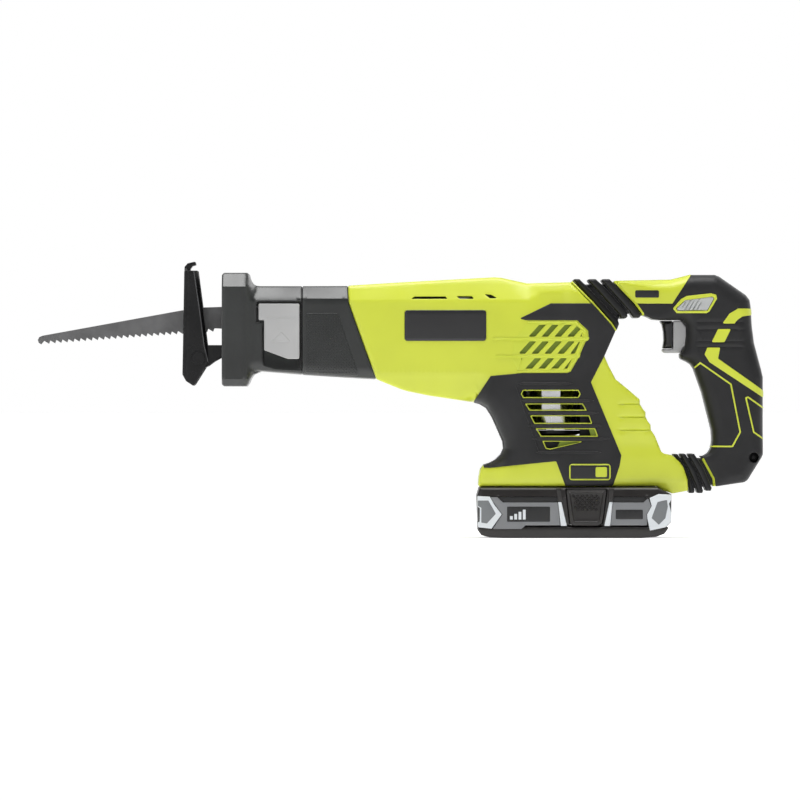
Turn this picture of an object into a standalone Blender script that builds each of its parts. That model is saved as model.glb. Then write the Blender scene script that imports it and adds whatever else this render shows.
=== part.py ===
"""Battery reciprocating saw: blade to -X, handle to +X, battery base on Z = 0. Outlines are in mm."""

import math

import bmesh
import bpy
from mathutils import Matrix, Vector

MM = 0.001
GAP = 0.3
SEAM = 0.15

# Working end
PLUNGER_Z = 155.0
PLUNGER_R = 6.5
STROKE = 22.0
BLADE_HALF = 0.6
TOOTH_PITCH = 4.25
TOOTH_DEPTH = 2.3
CLAMP_R = 9.0
BUSH_R = 8.7
SHOE_HALF = 16.0
SHOE_WALL = 2.0
SHOE_PIN_R = 3.0
SHOE_PIN_HEAD_R = 4.6
BRACKET_HALF = 13.0
PIVOT_X, PIVOT_Z = -142.0, 127.0
BARREL_R = 17.5
BUMPER_HALF = 34.0
BUMPER_LOW, BUMPER_HIGH = 107.5, 187.0
NECK_HALF = 29.5
NECK_HIGH = 177.7
LEVER_AXIS_Y, LEVER_AXIS_Z = -27.8, 163.5
LEVER_PIN_R = 1.5
LEVER_OUTER_Y, LEVER_INNER_Y = -30.6, -25.0

# Gear train: the crank gear turns about a vertical axis ahead of the motor
MODULE = 1.2
GEAR_TEETH, PINION_TEETH = 46, 8
MOTOR_X = 105.0
CRANK_X = MOTOR_X - MODULE * (GEAR_TEETH + PINION_TEETH) / 2
CRANK_R = STROKE / 2
MOTOR_R = 21.0
SHAFT_R = 2.5
AXLE_R = 5.0
GEAR_LOW, GEAR_HIGH = 138.0, 146.0
CASE_HALF = 24.0

# Housing and handle
BODY_HALF = 37.5
WALL = 2.5
BODY_STATIONS = ((-38, 30 / 37.5), (20, 34 / 37.5), (60, 1.0), (125, 1.0), (165, 33 / 37.5), (202, 25 / 37.5))
HANDLE_HALF = 19.0
HANDLE_STATIONS = ((148, 26 / 19), (172, 24 / 19), (195, 1.0), (256, 1.0))
SKIN_LOW, SKIN_HIGH = BODY_HALF + GAP, BODY_HALF + 1.8
SIDE_CUT_LOW, SIDE_CUT_HIGH = 20.0, 60.0
UPPER_GUIDE_Z, LOWER_GUIDE_Z = 171.0, 47.0
GUIDE_R = 4.0
GUIDE_BORE_R = 5.2
FLOAT_BORE_R = 6.0
UPPER_BELLOWS_HALF, LOWER_BELLOWS_HALF = 24.0, 20.0
RIB_HEIGHT = 3.0
TRIGGER_HALF = 11.5
BUTTON_HALF = 20.2

# Battery
BATTERY_HALF = 40.0
STEM_HALF = 17.6
LATCH_LOW, LATCH_HIGH = 36.3, 41.0
CELL_R, CELL_HALF = 9.1, 32.5
CELL_X = (78.0, 97.5, 117.0, 136.5, 156.0)
CELL_Z = 20.2

# The outlines' datum, set on the floor and centred along the tool
FLOOR_SHIFT = Vector((0.5, 0.0, -1.6)) * MM

HOUSING = [
    (-37.3, 178), (65, 183.8), (70, 183.5), (88, 179.5), (118.5, 180.3), (133, 165.5), (146.5, 150.5),
    (149.5, 146), (142, 129), (145, 122), (150, 112.5), (158, 106), (165, 99.5), (170.5, 88.5), (174, 81),
    (177.5, 73), (182, 62), (189.5, 59.5), (195, 54.5), (200.5, 42), (201, 34.5), (190, 32.3), (183, 35),
    (179, 37.5), (54, 37.5), (54.5, 44), (55.5, 49.5), (62, 53), (66.5, 56), (70, 59.5), (72, 64),
    (71.5, 69), (68, 77), (64, 86), (60, 92.5), (55, 95.5), (20, 101), (0, 105.5), (-17.5, 112.5), (-37, 166),
]
HANDLE = [
    (149, 181), (189, 182), (203.5, 185.7), (221, 185.7), (242.5, 171), (245, 166), (246, 150), (247.5, 138),
    (252.5, 120), (254, 114), (254, 60), (242.5, 41), (219, 37), (218.5, 43), (210.5, 58.2), (215, 61),
    (218, 69), (217.5, 77), (211, 103), (205, 120), (202, 124), (196, 127), (196.5, 131), (199.5, 143),
    (197, 154), (177, 154.3), (169, 157.5), (163.5, 166),
]
BODY_GRIP = [
    (82.5, 154.8), (104.5, 165.5), (133, 165.5), (146.5, 150.5), (149.2, 146), (142, 129), (132.5, 110.8),
    (121, 112), (125, 127), (129.5, 138), (132, 140.5), (131.5, 147), (124, 154.2), (88, 154.2),
]
MOTOR_GUARD = [
    (62.5, 114.5), (85, 116.5), (115.5, 116.5), (118.5, 110.4), (132, 110.4), (153.6, 59.5), (152.5, 52),
    (148, 38), (115, 38), (108.5, 55), (72, 55.5), (72.6, 64), (71.8, 69.5), (68.6, 77.5), (64.6, 86.5),
    (60.6, 93), (55.5, 98),
]
GRILLE = [
    (89, 153), (122.5, 152.8), (129.5, 146), (130, 141), (127, 138), (123, 128), (118.5, 119), (115, 117.2),
    (82, 117.2), (76, 128), (74, 140),
]
NAMEPLATE = [
    (2.5, 141.3), (4.5, 139.3), (57.5, 139.3), (59.5, 141.3), (59.5, 158.7), (57.5, 160.7), (4.5, 160.7),
    (2.5, 158.7),
]
SHOE = [
    (-153.3, 116), (-153, 130), (-152, 190), (-150.5, 193.5), (-146, 195), (-143.5, 194.5), (-143.8, 192.2),
    (-146.8, 192), (-149, 189), (-142.5, 189), (-139, 163), (-135.8, 136.5), (-137.5, 120.5), (-142, 112),
    (-145.5, 108), (-150, 110),
]
SHOE_HOLLOW = [
    (-151.2, 117), (-150.9, 130), (-149.9, 186.8), (-130, 186.8), (-128, 124), (-136, 118.8), (-143.6, 112.6),
    (-146, 110.8), (-149, 112.2),
]
LEVER = [
    (-99.5, 165.5), (-72.6, 165.5), (-72.6, 127), (-79.5, 127), (-95.5, 133), (-95.5, 153.5), (-99.5, 153.5),
]
TRIGGER = [
    (190.7, 131.4), (196, 131.4), (198.2, 135), (203.5, 136), (203.5, 150), (199, 150), (196.8, 153.6),
    (190.7, 153.6),
]
TRIGGER_PAD = [
    (181.2, 153.6), (183, 151), (184, 146), (184.2, 140), (183, 133), (184.2, 131.4), (190.4, 131.4),
    (190.4, 153.6),
]
LOCK_BUTTON = [(193, 162), (199, 167.5), (218, 170), (219, 169), (214.5, 161), (194, 160.7)]
UPPER_RIBS = (
    [(120, 182.5), (125, 182.5), (151.8, 151.5), (150.7, 147.2)],
    [(129.5, 182.5), (136, 182.5), (157.7, 155.4), (153, 155.4)],
    [(139, 182.5), (144.5, 182.5), (162, 164.4), (164.2, 158.6), (162, 155.4)],
)
UPPER_CORE = [
    (121.5, 179.5), (134.5, 165.7), (148, 151), (149.5, 151), (158, 158), (162.8, 159), (161, 165),
    (146, 180),
]
LOWER_RIBS = (
    [(190.2, 60.2), (193.5, 60.2), (199, 50), (205.5, 33), (201.8, 33), (201.2, 42), (195.6, 54.9)],
    [(194.5, 60), (199, 60), (211.5, 33), (207, 33)],
    [(200.5, 60), (205, 60), (216.5, 38), (217, 34.5), (213, 34.5)],
)
LOWER_CORE = [(192, 58.5), (197, 54), (202, 42), (202.5, 36), (216, 38), (215.5, 42), (208, 57), (205, 58.5)]
BATTERY_CASE = [
    (53.2, 10), (53, 31), (56.5, 37.1), (178, 37.1), (182.5, 34.2), (188.8, 31.2), (188.8, 13), (186, 10),
]
BATTERY_PAN = [(53.6, 9.7), (54, 6), (57, 3.5), (64, 1.6), (176, 1.6), (184, 5), (186, 9.7)]
FRONT_PANEL = [(60, 19), (64, 10.8), (114, 10.8), (111, 25.8), (68, 25.8)]
REAR_PANEL = [(144.6, 10.8), (173, 10.8), (178, 19), (174, 25.8), (147.6, 25.8)]
LATCH = [(116.3, 34.5), (143.7, 34.5), (140.3, 13), (138, 10.9), (120, 10.9), (118, 13)]

LOWER_SLOTS = (
    [(84.5, 102.3), (86.5, 104.5), (122.5, 104.5), (124.5, 102.3), (122.5, 100), (86.5, 100)],
    [(87.5, 95), (126.5, 95), (128.7, 91.2), (90, 91.2)],
    [(91, 86.7), (131, 86.7), (132.7, 82), (93.5, 82)],
    [(95, 77.7), (135, 77.7), (136.8, 73), (98, 73)],
    [(99.5, 69), (127, 69), (104, 64), (101.5, 64.5)],
)
GRILLE_ROWS = ((142.2, 151.5, 89, 4), (130.3, 138.8, 82, 4), (118.8, 127, 86, 3))

part = bpy.data.collections.new("reciprocating_saw")
cutters = bpy.data.collections.new("cutters")


def clear_scene():
    for obj in list(bpy.data.objects):
        bpy.data.objects.remove(obj, do_unlink=True)
    bpy.context.scene.collection.children.link(part)
    bpy.context.scene.collection.children.link(cutters)
    cutters.hide_render = True


def material(name, colour, roughness, metallic=0.0):
    made = bpy.data.materials.new(name)
    made.use_nodes = True
    shader = made.node_tree.nodes["Principled BSDF"]
    shader.inputs["Base Color"].default_value = (*colour, 1.0)
    shader.inputs["Roughness"].default_value = roughness
    shader.inputs["Metallic"].default_value = metallic
    made.diffuse_color = (*colour, 1.0)
    return made


def tidy(mesh):
    """Welds the caps, joins coplanar faces and turns every face outwards."""
    bm = bmesh.new()
    bm.from_mesh(mesh)
    bmesh.ops.remove_doubles(bm, verts=bm.verts, dist=1e-6)
    bmesh.ops.dissolve_limit(bm, angle_limit=1e-3, verts=bm.verts, edges=bm.edges)
    bmesh.ops.recalc_face_normals(bm, faces=bm.faces)
    bm.to_mesh(mesh)
    bm.free()
    return mesh


def prism(outline, low, high, axis="Y"):
    """A closed outline filled and extruded along the axis: (x, z) for Y, (y, z) for X, (x, y) for Z."""
    curve = bpy.data.curves.new("outline", "CURVE")
    curve.dimensions = "2D"
    curve.fill_mode = "BOTH"
    curve.extrude = (high - low) / 2 * MM
    spline = curve.splines.new("POLY")
    spline.points.add(len(outline) - 1)
    for point, (u, v) in zip(spline.points, outline):
        point.co = (u * MM, v * MM, 0.0, 1.0)
    spline.use_cyclic_u = True
    holder = bpy.data.objects.new("outline", curve)
    bpy.context.scene.collection.objects.link(holder)
    graph = bpy.context.evaluated_depsgraph_get()
    mesh = bpy.data.meshes.new_from_object(holder.evaluated_get(graph))
    bpy.data.objects.remove(holder)
    middle = (low + high) / 2 * MM
    turns = {
        "X": Matrix(((0, 0, 1, middle), (1, 0, 0, 0), (0, 1, 0, 0), (0, 0, 0, 1))),
        "Y": Matrix.Translation((0, middle, 0)) @ Matrix.Rotation(math.radians(90), 4, "X"),
        "Z": Matrix.Translation((0, 0, middle)),
    }
    mesh.transform(turns[axis])
    return tidy(mesh)


def turned(profile, centre, axis="Z", segments=32):
    """A closed (radius, height) profile spun about an axis through the centre."""
    bm = bmesh.new()
    ring = [bm.verts.new((r * MM, 0, h * MM)) for r, h in profile]
    edges = [bm.edges.new((ring[i], ring[(i + 1) % len(ring)])) for i in range(len(ring))]
    edges = [e for e in edges if max(v.co.x for v in e.verts) > 1e-7]
    bmesh.ops.spin(bm, geom=ring + edges, cent=(0, 0, 0), axis=(0, 0, 1), angle=math.tau, steps=segments)
    loose = [e for e in bm.edges if not e.link_faces]
    bmesh.ops.delete(bm, geom=loose, context="EDGES")
    bmesh.ops.remove_doubles(bm, verts=bm.verts, dist=1e-6)
    bmesh.ops.recalc_face_normals(bm, faces=bm.faces)
    mesh = bpy.data.meshes.new("turned")
    bm.to_mesh(mesh)
    bm.free()
    turns = {
        "X": Matrix.Rotation(math.radians(90), 4, "Y"),
        "Y": Matrix.Rotation(math.radians(-90), 4, "X"),
        "Z": Matrix.Identity(4),
    }
    mesh.transform(Matrix.Translation(Vector(centre) * MM) @ turns[axis])
    return mesh


def rod(radius, low, high, centre, axis, segments=24):
    """A plain cylinder from low to high along the axis; the centre gives the other two coordinates."""
    start = list(centre)
    start["XYZ".index(axis)] = low
    return turned([(0, 0), (radius, 0), (radius, high - low), (0, high - low)], start, axis, segments)


def ring_section(half, low, high, corner, steps=3):
    """A rounded rectangle in Y and Z, the same number of points whatever its size."""
    points = []
    for sy, sz, start in ((1, 1, 0), (-1, 1, 90), (-1, -1, 180), (1, -1, 270)):
        cy = sy * (half - corner)
        cz = (high - corner) if sz > 0 else (low + corner)
        for i in range(steps + 1):
            angle = math.radians(start + 90 * i / steps)
            points.append((cy + corner * math.cos(angle), cz + corner * math.sin(angle)))
    return points


def loft(sections):
    """Skins between sections along X, each an x with its ring of (y, z), and closes both ends."""
    bm = bmesh.new()
    rings = [[bm.verts.new((x * MM, y * MM, z * MM)) for y, z in ring] for x, ring in sections]
    count = len(rings[0])
    for near, far in zip(rings, rings[1:]):
        for i in range(count):
            j = (i + 1) % count
            bm.faces.new((near[i], near[j], far[j], far[i]))
    bm.faces.new(rings[0])
    bm.faces.new(rings[-1])
    bmesh.ops.triangulate(bm, faces=bm.faces)
    mesh = bpy.data.meshes.new("loft")
    bm.to_mesh(mesh)
    bm.free()
    return tidy(mesh)


def inset(outline, distance):
    """The outline moved inwards by the distance, corner by corner; a negative distance grows it."""
    count = len(outline)
    area = sum(a[0] * b[1] - b[0] * a[1] for a, b in zip(outline, outline[1:] + outline[:1]))
    turn = 1 if area > 0 else -1
    moved = []
    for i, corner in enumerate(outline):
        here = Vector(corner)
        before = (here - Vector(outline[i - 1])).normalized()
        after = (Vector(outline[(i + 1) % count]) - here).normalized()
        n1 = Vector((-before.y, before.x)) * turn
        n2 = Vector((-after.y, after.x)) * turn
        mitre = (n1 + n2).normalized()
        reach = distance / max(mitre.dot(n1), 0.35)
        moved.append(tuple(here + mitre * reach))
    return moved


def bevel_rim(mesh, y, width):
    """Chamfers the edges that lie in the plane at this Y."""
    bm = bmesh.new()
    bm.from_mesh(mesh)
    rim = [e for e in bm.edges if all(abs(v.co.y - y * MM) < 1e-6 for v in e.verts)]
    bmesh.ops.bevel(bm, geom=rim, offset=width * MM, segments=1, affect="EDGES", clamp_overlap=False)
    bmesh.ops.recalc_face_normals(bm, faces=bm.faces)
    bm.to_mesh(mesh)
    bm.free()
    return mesh


def taper(mesh, stations):
    """Scales Y by a factor that runs straight from station to station along X."""
    bm = bmesh.new()
    bm.from_mesh(mesh)
    for x, _ in stations:
        geometry = list(bm.verts) + list(bm.edges) + list(bm.faces)
        bmesh.ops.bisect_plane(bm, geom=geometry, dist=1e-7, plane_co=(x * MM, 0, 0), plane_no=(1, 0, 0))
    for vert in bm.verts:
        x = vert.co.x / MM
        x = min(max(x, stations[0][0]), stations[-1][0])
        for (x0, f0), (x1, f1) in zip(stations, stations[1:]):
            if x0 <= x <= x1:
                vert.co.y *= f0 + (f1 - f0) * (x - x0) / (x1 - x0)
                break
    bm.to_mesh(mesh)
    bm.free()
    return mesh


def mirrored(mesh, side):
    if side < 0:
        mesh.transform(Matrix.Diagonal((1, -1, 1, 1)))
        mesh.flip_normals()
    return mesh


def add(name, mesh, look, origin=(0, 0, 0)):
    """One sub-part, with its origin at the given point."""
    mesh.name = name
    mesh.transform(Matrix.Translation(-Vector(origin) * MM))
    mesh.materials.clear()
    mesh.materials.append(look)
    obj = bpy.data.objects.new(name, mesh)
    obj.location = Vector(origin) * MM
    part.objects.link(obj)
    return obj


def combine(obj, mesh, operation="DIFFERENCE"):
    """Cuts the mesh from the sub-part, or joins it on, with an exact Boolean."""
    tool = bpy.data.objects.new(f"{obj.name}_tool_{len(obj.modifiers)}", mesh)
    tool.display_type = "WIRE"
    tool.hide_render = True
    cutters.objects.link(tool)
    modifier = obj.modifiers.new(f"step_{len(obj.modifiers)}", "BOOLEAN")
    modifier.operation = operation
    modifier.solver = "EXACT"
    modifier.object = tool
    return obj


def blade_outline():
    start, end = Vector((-250.5, 137.2)), Vector((-131.0, 146.0))
    count = int((end.x - start.x) / TOOTH_PITCH)
    lower = []
    for i in range(count):
        root = start.lerp(end, i / count)
        tip = start.lerp(end, (i + 0.8) / count)
        lower.append((root.x, root.y + TOOTH_DEPTH))
        lower.append((tip.x, tip.y))
    lower.append((end.x, end.y + TOOTH_DEPTH))
    tip_round = [(-251.5, 143.2), (-254, 142.2), (-255, 140.2), (-254.4, 138.2), (-252.6, 137)]
    tang = [(-124, 148), (-118, 149), (-116, 151), (-98, 151), (-98, 159), (-116, 159), (-118, 163.6)]
    return tip_round + lower + tang + [(-139, 163), (-153.5, 161)]


def build_working_end(m):
    add("blade", prism(blade_outline(), -BLADE_HALF, BLADE_HALF), m["blade"], (-105, 0, PLUNGER_Z))

    clamp = [(0, 0), (CLAMP_R - 1.5, 0), (CLAMP_R, 1.5), (CLAMP_R, 20), (CLAMP_R - 1, 22), (0, 22)]
    clamp = add("blade_clamp", turned(clamp, (-114, 0, PLUNGER_Z), "X"), m["steel"], (-105, 0, PLUNGER_Z))
    combine(clamp, prism([(-116, 150.4), (-97.4, 150.4), (-97.4, 159.6), (-116, 159.6)], -1, 1))
    combine(clamp, rod(PLUNGER_R + GAP, -96.3, -90, (0, 0, PLUNGER_Z), "X"))

    plunger = rod(PLUNGER_R, -96, 66, (0, 0, PLUNGER_Z), "X")
    plunger = add("plunger", plunger, m["steel"], (CRANK_X, 0, PLUNGER_Z))
    yoke = [(CRANK_X - 10, -19), (CRANK_X + 10, -19), (CRANK_X + 10, 19), (CRANK_X - 10, 19)]
    slot = [(CRANK_X - 4.2, -14.8), (CRANK_X + 4.2, -14.8), (CRANK_X + 4.2, 14.8), (CRANK_X - 4.2, 14.8)]
    combine(plunger, prism(yoke, 148.7, 161, "Z"), "UNION")
    combine(plunger, prism(slot, 140, 170, "Z"))

    for name, low, high in (("plunger_bush_front", -76, -58), ("plunger_bush_rear", 14, 34)):
        length = high - low
        bush = [(PLUNGER_R + GAP, 0), (BUSH_R, 0), (BUSH_R, length), (PLUNGER_R + GAP, length)]
        add(name, turned(bush, (low, 0, PLUNGER_Z), "X"), m["bronze"])

    shoe = add("shoe", prism(SHOE, -SHOE_HALF, SHOE_HALF), m["black_steel"], (PIVOT_X, 0, PIVOT_Z))
    combine(shoe, prism(SHOE_HOLLOW, -(SHOE_HALF - SHOE_WALL), SHOE_HALF - SHOE_WALL))
    combine(shoe, prism([(-4, 133), (4, 133), (4, 176), (0, 180), (-4, 176)], -160, -146, "X"))
    combine(shoe, rod(SHOE_PIN_R + GAP, -30, 30, (PIVOT_X, 0, PIVOT_Z), "Y"))

    shank, head = SHOE_HALF + 0.4, SHOE_HALF + 1.8
    pin = [
        (0, -head), (SHOE_PIN_HEAD_R, -head), (SHOE_PIN_HEAD_R, -shank), (SHOE_PIN_R, -shank),
        (SHOE_PIN_R, shank), (SHOE_PIN_HEAD_R, shank), (SHOE_PIN_HEAD_R, head), (0, head),
    ]
    add("shoe_pivot_pin", turned(pin, (PIVOT_X, 0, PIVOT_Z), "Y", 24), m["steel"])

    nose = []
    for step in range(7):
        angle = math.radians(90 + 30 * step)
        nose.append((PIVOT_X + 7 * math.cos(angle), PIVOT_Z + 7 * math.sin(angle)))
    arm = [
        (-137.5, 120.5), (-134.5, 122), (-130.5, 125), (-125, 128), (-67, 128), (-67, 136.5), (-137, 136.5),
    ]
    bracket = add("shoe_bracket", prism(nose + arm, -BRACKET_HALF, BRACKET_HALF), m["black_steel"])
    combine(bracket, rod(SHOE_PIN_R + GAP, -30, 30, (PIVOT_X, 0, PIVOT_Z), "Y"))
    combine(bracket, prism([(-160, 100), (-128, 100), (-128, 160), (-160, 160)], -8, 8))


def build_nose(m):
    wide = ring_section(BUMPER_HALF, BUMPER_LOW, BUMPER_HIGH, 10)
    neck_front = ring_section(NECK_HALF, 118, NECK_HIGH, 9)
    neck_rear = ring_section(NECK_HALF, 115.7, NECK_HIGH, 9)
    boot = loft(
        [
            (-125.3, ring_section(BUMPER_HALF - 1.5, BUMPER_LOW + 1.5, BUMPER_HIGH - 1.5, 10)),
            (-123.8, wide),
            (-108, wide),
            (-105.8, ring_section(32, 111, 182, 10)),
            (-103, ring_section(30.3, 115.5, 179, 9.5)),
            (-98, neck_front),
            (-70, neck_rear),
        ]
    )
    boot = add("nose_boot", boot, m["boot"])
    combine(boot, rod(BARREL_R + 0.6, -130, -60, (0, 0, PLUNGER_Z), "X", 32))
    combine(boot, prism([(-130, 127.5), (-60, 127.5), (-60, 137), (-130, 137)], -13.5, 13.5))
    combine(boot, prism([(-130, 119), (-112, 119), (-112, 130), (-130, 130)], -14, 14))
    combine(boot, prism(inset(LEVER, -1.4), -40, -24))
    scoop = [(-96, 119), (-73.4, 119), (-73.4, 129), (-95, 134)]
    combine(boot, prism(scoop, -40, -26))
    hinge = (0, LEVER_AXIS_Y, LEVER_AXIS_Z)
    combine(boot, rod(LEVER_PIN_R + GAP, -103, -60, hinge, "X", 12))

    lever = prism(LEVER, LEVER_OUTER_Y, LEVER_INNER_Y)
    lever = add("blade_lever", lever, m["lever"], (-85, LEVER_AXIS_Y, LEVER_AXIS_Z))
    combine(lever, rod(LEVER_PIN_R + GAP, -103, -60, hinge, "X", 12))
    add("lever_hinge_pin", rod(LEVER_PIN_R, -101.5, -70.6, hinge, "X", 12), m["steel"])

    front, rear = ring_section(NECK_HALF, 115.6, NECK_HIGH, 9), ring_section(NECK_HALF, 111.8, NECK_HIGH, 9)
    sleeve = add("gearcase_sleeve", loft([(-68, front), (-14, rear)]), m["boot"])
    hollow_half = NECK_HALF - WALL
    front, rear = ring_section(hollow_half, 118.5, 175, 7), ring_section(hollow_half, 114.2, 175, 7)
    combine(sleeve, loft([(-80, front), (0, rear)]))
    combine(sleeve, prism([(-37.8, 190), (-37.4, 166), (-14.5, 103), (10, 103), (10, 190)], -60, 60))


def build_gear_case(m):
    tunnel = ring_section(CASE_HALF, 122, 172, 8)
    case = add("gear_case", loft([(-66.4, tunnel), (38, tunnel)]), m["aluminium"])
    combine(case, rod(BARREL_R, -97, -60, (0, 0, PLUNGER_Z), "X", 32), "UNION")
    chamber = [
        (37, -30.5), (39, -32.5), (112, -32.5), (116, -28), (116, 28), (112, 32.5), (39, 32.5), (37, 30.5),
    ]
    combine(case, prism(chamber, 132, 166, "Z"), "UNION")
    combine(case, prism([(42, -29.6), (101.8, -29.6), (101.8, 29.6), (42, 29.6)], 134.5, 190, "Z"))
    combine(case, rod(9.2, 134.5, 190, (MOTOR_X, 0, 0), "Z"))
    combine(case, rod(8.4, 120, 135, (MOTOR_X, 0, 0), "Z"))
    combine(case, rod(BUSH_R + GAP, -110, 50, (0, 0, PLUNGER_Z), "X"))
    combine(case, rod(10.6, -110, -78, (0, 0, PLUNGER_Z), "X"))
    lid = [(38.8, -32), (112, -32), (115.6, -28), (115.6, 28), (112, 32), (38.8, 32)]
    add("gear_case_cover", prism(lid, 166.4, 169.4, "Z"), m["aluminium"])


def gear_outline(teeth, addendum, dedendum, thickness, phase, centre):
    """Involute teeth with pitch-line thickness, closed by straight root lines."""
    pitch_r = teeth * MODULE / 2
    base_r = pitch_r * math.cos(math.radians(20))
    outer_r, root_r = pitch_r + addendum, pitch_r - dedendum
    lean = thickness / (2 * pitch_r) + math.tan(math.acos(base_r / pitch_r)) - math.acos(base_r / pitch_r)
    radii = [root_r, max(root_r, base_r), pitch_r, outer_r]
    points = []
    for k in range(teeth):
        middle = phase + math.tau * k / teeth
        flank = []
        for r in radii:
            roll = math.acos(min(base_r / r, 1.0))
            flank.append((r, lean - (math.tan(roll) - roll)))
        for sign, run in ((-1, flank), (1, reversed(flank))):
            for r, angle in run:
                at = middle + sign * angle
                points.append((centre + r * math.cos(at), r * math.sin(at)))
    return points


def build_drive(m):
    gear = prism(gear_outline(GEAR_TEETH, 0.8, 1.5, 1.5, 0.0, CRANK_X), GEAR_LOW, GEAR_HIGH, "Z")
    gear = add("crank_gear", gear, m["steel"], (CRANK_X, 0, 142))
    combine(gear, rod(AXLE_R + GAP, 130, 150, (CRANK_X, 0, 0), "Z"))
    pin = rod(3.8, GEAR_HIGH + GAP, 148.1, (CRANK_X - CRANK_R, 0, 0), "Z")
    add("crank_pin", pin, m["steel"], (CRANK_X, 0, 142))
    add("crank_axle", rod(AXLE_R, 134.8, 147, (CRANK_X, 0, 0), "Z"), m["steel"])

    pinion = gear_outline(PINION_TEETH, 1.2, 1.4, 1.5, math.pi / PINION_TEETH, MOTOR_X)
    pinion = add("pinion", prism(pinion, 136, 146, "Z"), m["steel"], (MOTOR_X, 0, 141))
    bore = SHAFT_R + GAP
    combine(pinion, rod(bore, 120, 160, (MOTOR_X, 0, 0), "Z"))
    add("motor_shaft", rod(SHAFT_R, 73.2, 147, (MOTOR_X, 0, 0), "Z"), m["steel"], (MOTOR_X, 0, 110))
    bearing = [(bore, 0), (8.1, 0), (8.1, 2.5), (bore, 2.5)]
    add("motor_bearing", turned(bearing, (MOTOR_X, 0, 132), "Z", 24), m["steel"])

    can = [(18.3, 0), (MOTOR_R, 0), (MOTOR_R, 43), (9, 43), (9, 41), (18.3, 41)]
    add("motor_can", turned(can, (MOTOR_X, 0, 77), "Z", 40), m["can"])
    rotor = [(bore, 0), (17.4, 0), (17.4, 31), (bore, 31)]
    add("rotor", turned(rotor, (MOTOR_X, 0, 82), "Z"), m["copper"], (MOTOR_X, 0, 98))
    bell = [(bore, 0), (15, 0), (MOTOR_R, 2), (MOTOR_R, 4.2), (bore, 4.2)]
    add("motor_end_bell", turned(bell, (MOTOR_X, 0, 72.5), "Z", 40), m["black_plastic"])
    fan = add("fan", rod(20.5, 121, 123.2, (MOTOR_X, 0, 0), "Z", 36), m["black_plastic"], (MOTOR_X, 0, 126))
    blades = []
    for k in range(12):
        for r, turn in ((8, -0.3), (20, 0.05), (20, 0.15), (8, -0.15)):
            angle = math.tau * k / 12 + turn * math.tau / 12 * 1.6
            blades.append((MOTOR_X + r * math.cos(angle), r * math.sin(angle)))
    combine(fan, prism(blades, 122, 130.5, "Z"), "UNION")
    combine(fan, rod(bore, 110, 140, (MOTOR_X, 0, 0), "Z"))


def grille_slots():
    """Slots that lean up to the rear at 45 degrees, in three rows that shorten towards the motor."""
    slots = []
    for low, high, first, count in GRILLE_ROWS:
        rise = high - low
        for i in range(count):
            x = first + 9 * i
            slots.append([(x, low), (x + 5, low), (x + 5 + rise * 0.8, high), (x + rise * 0.8, high)])
    return slots


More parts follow.
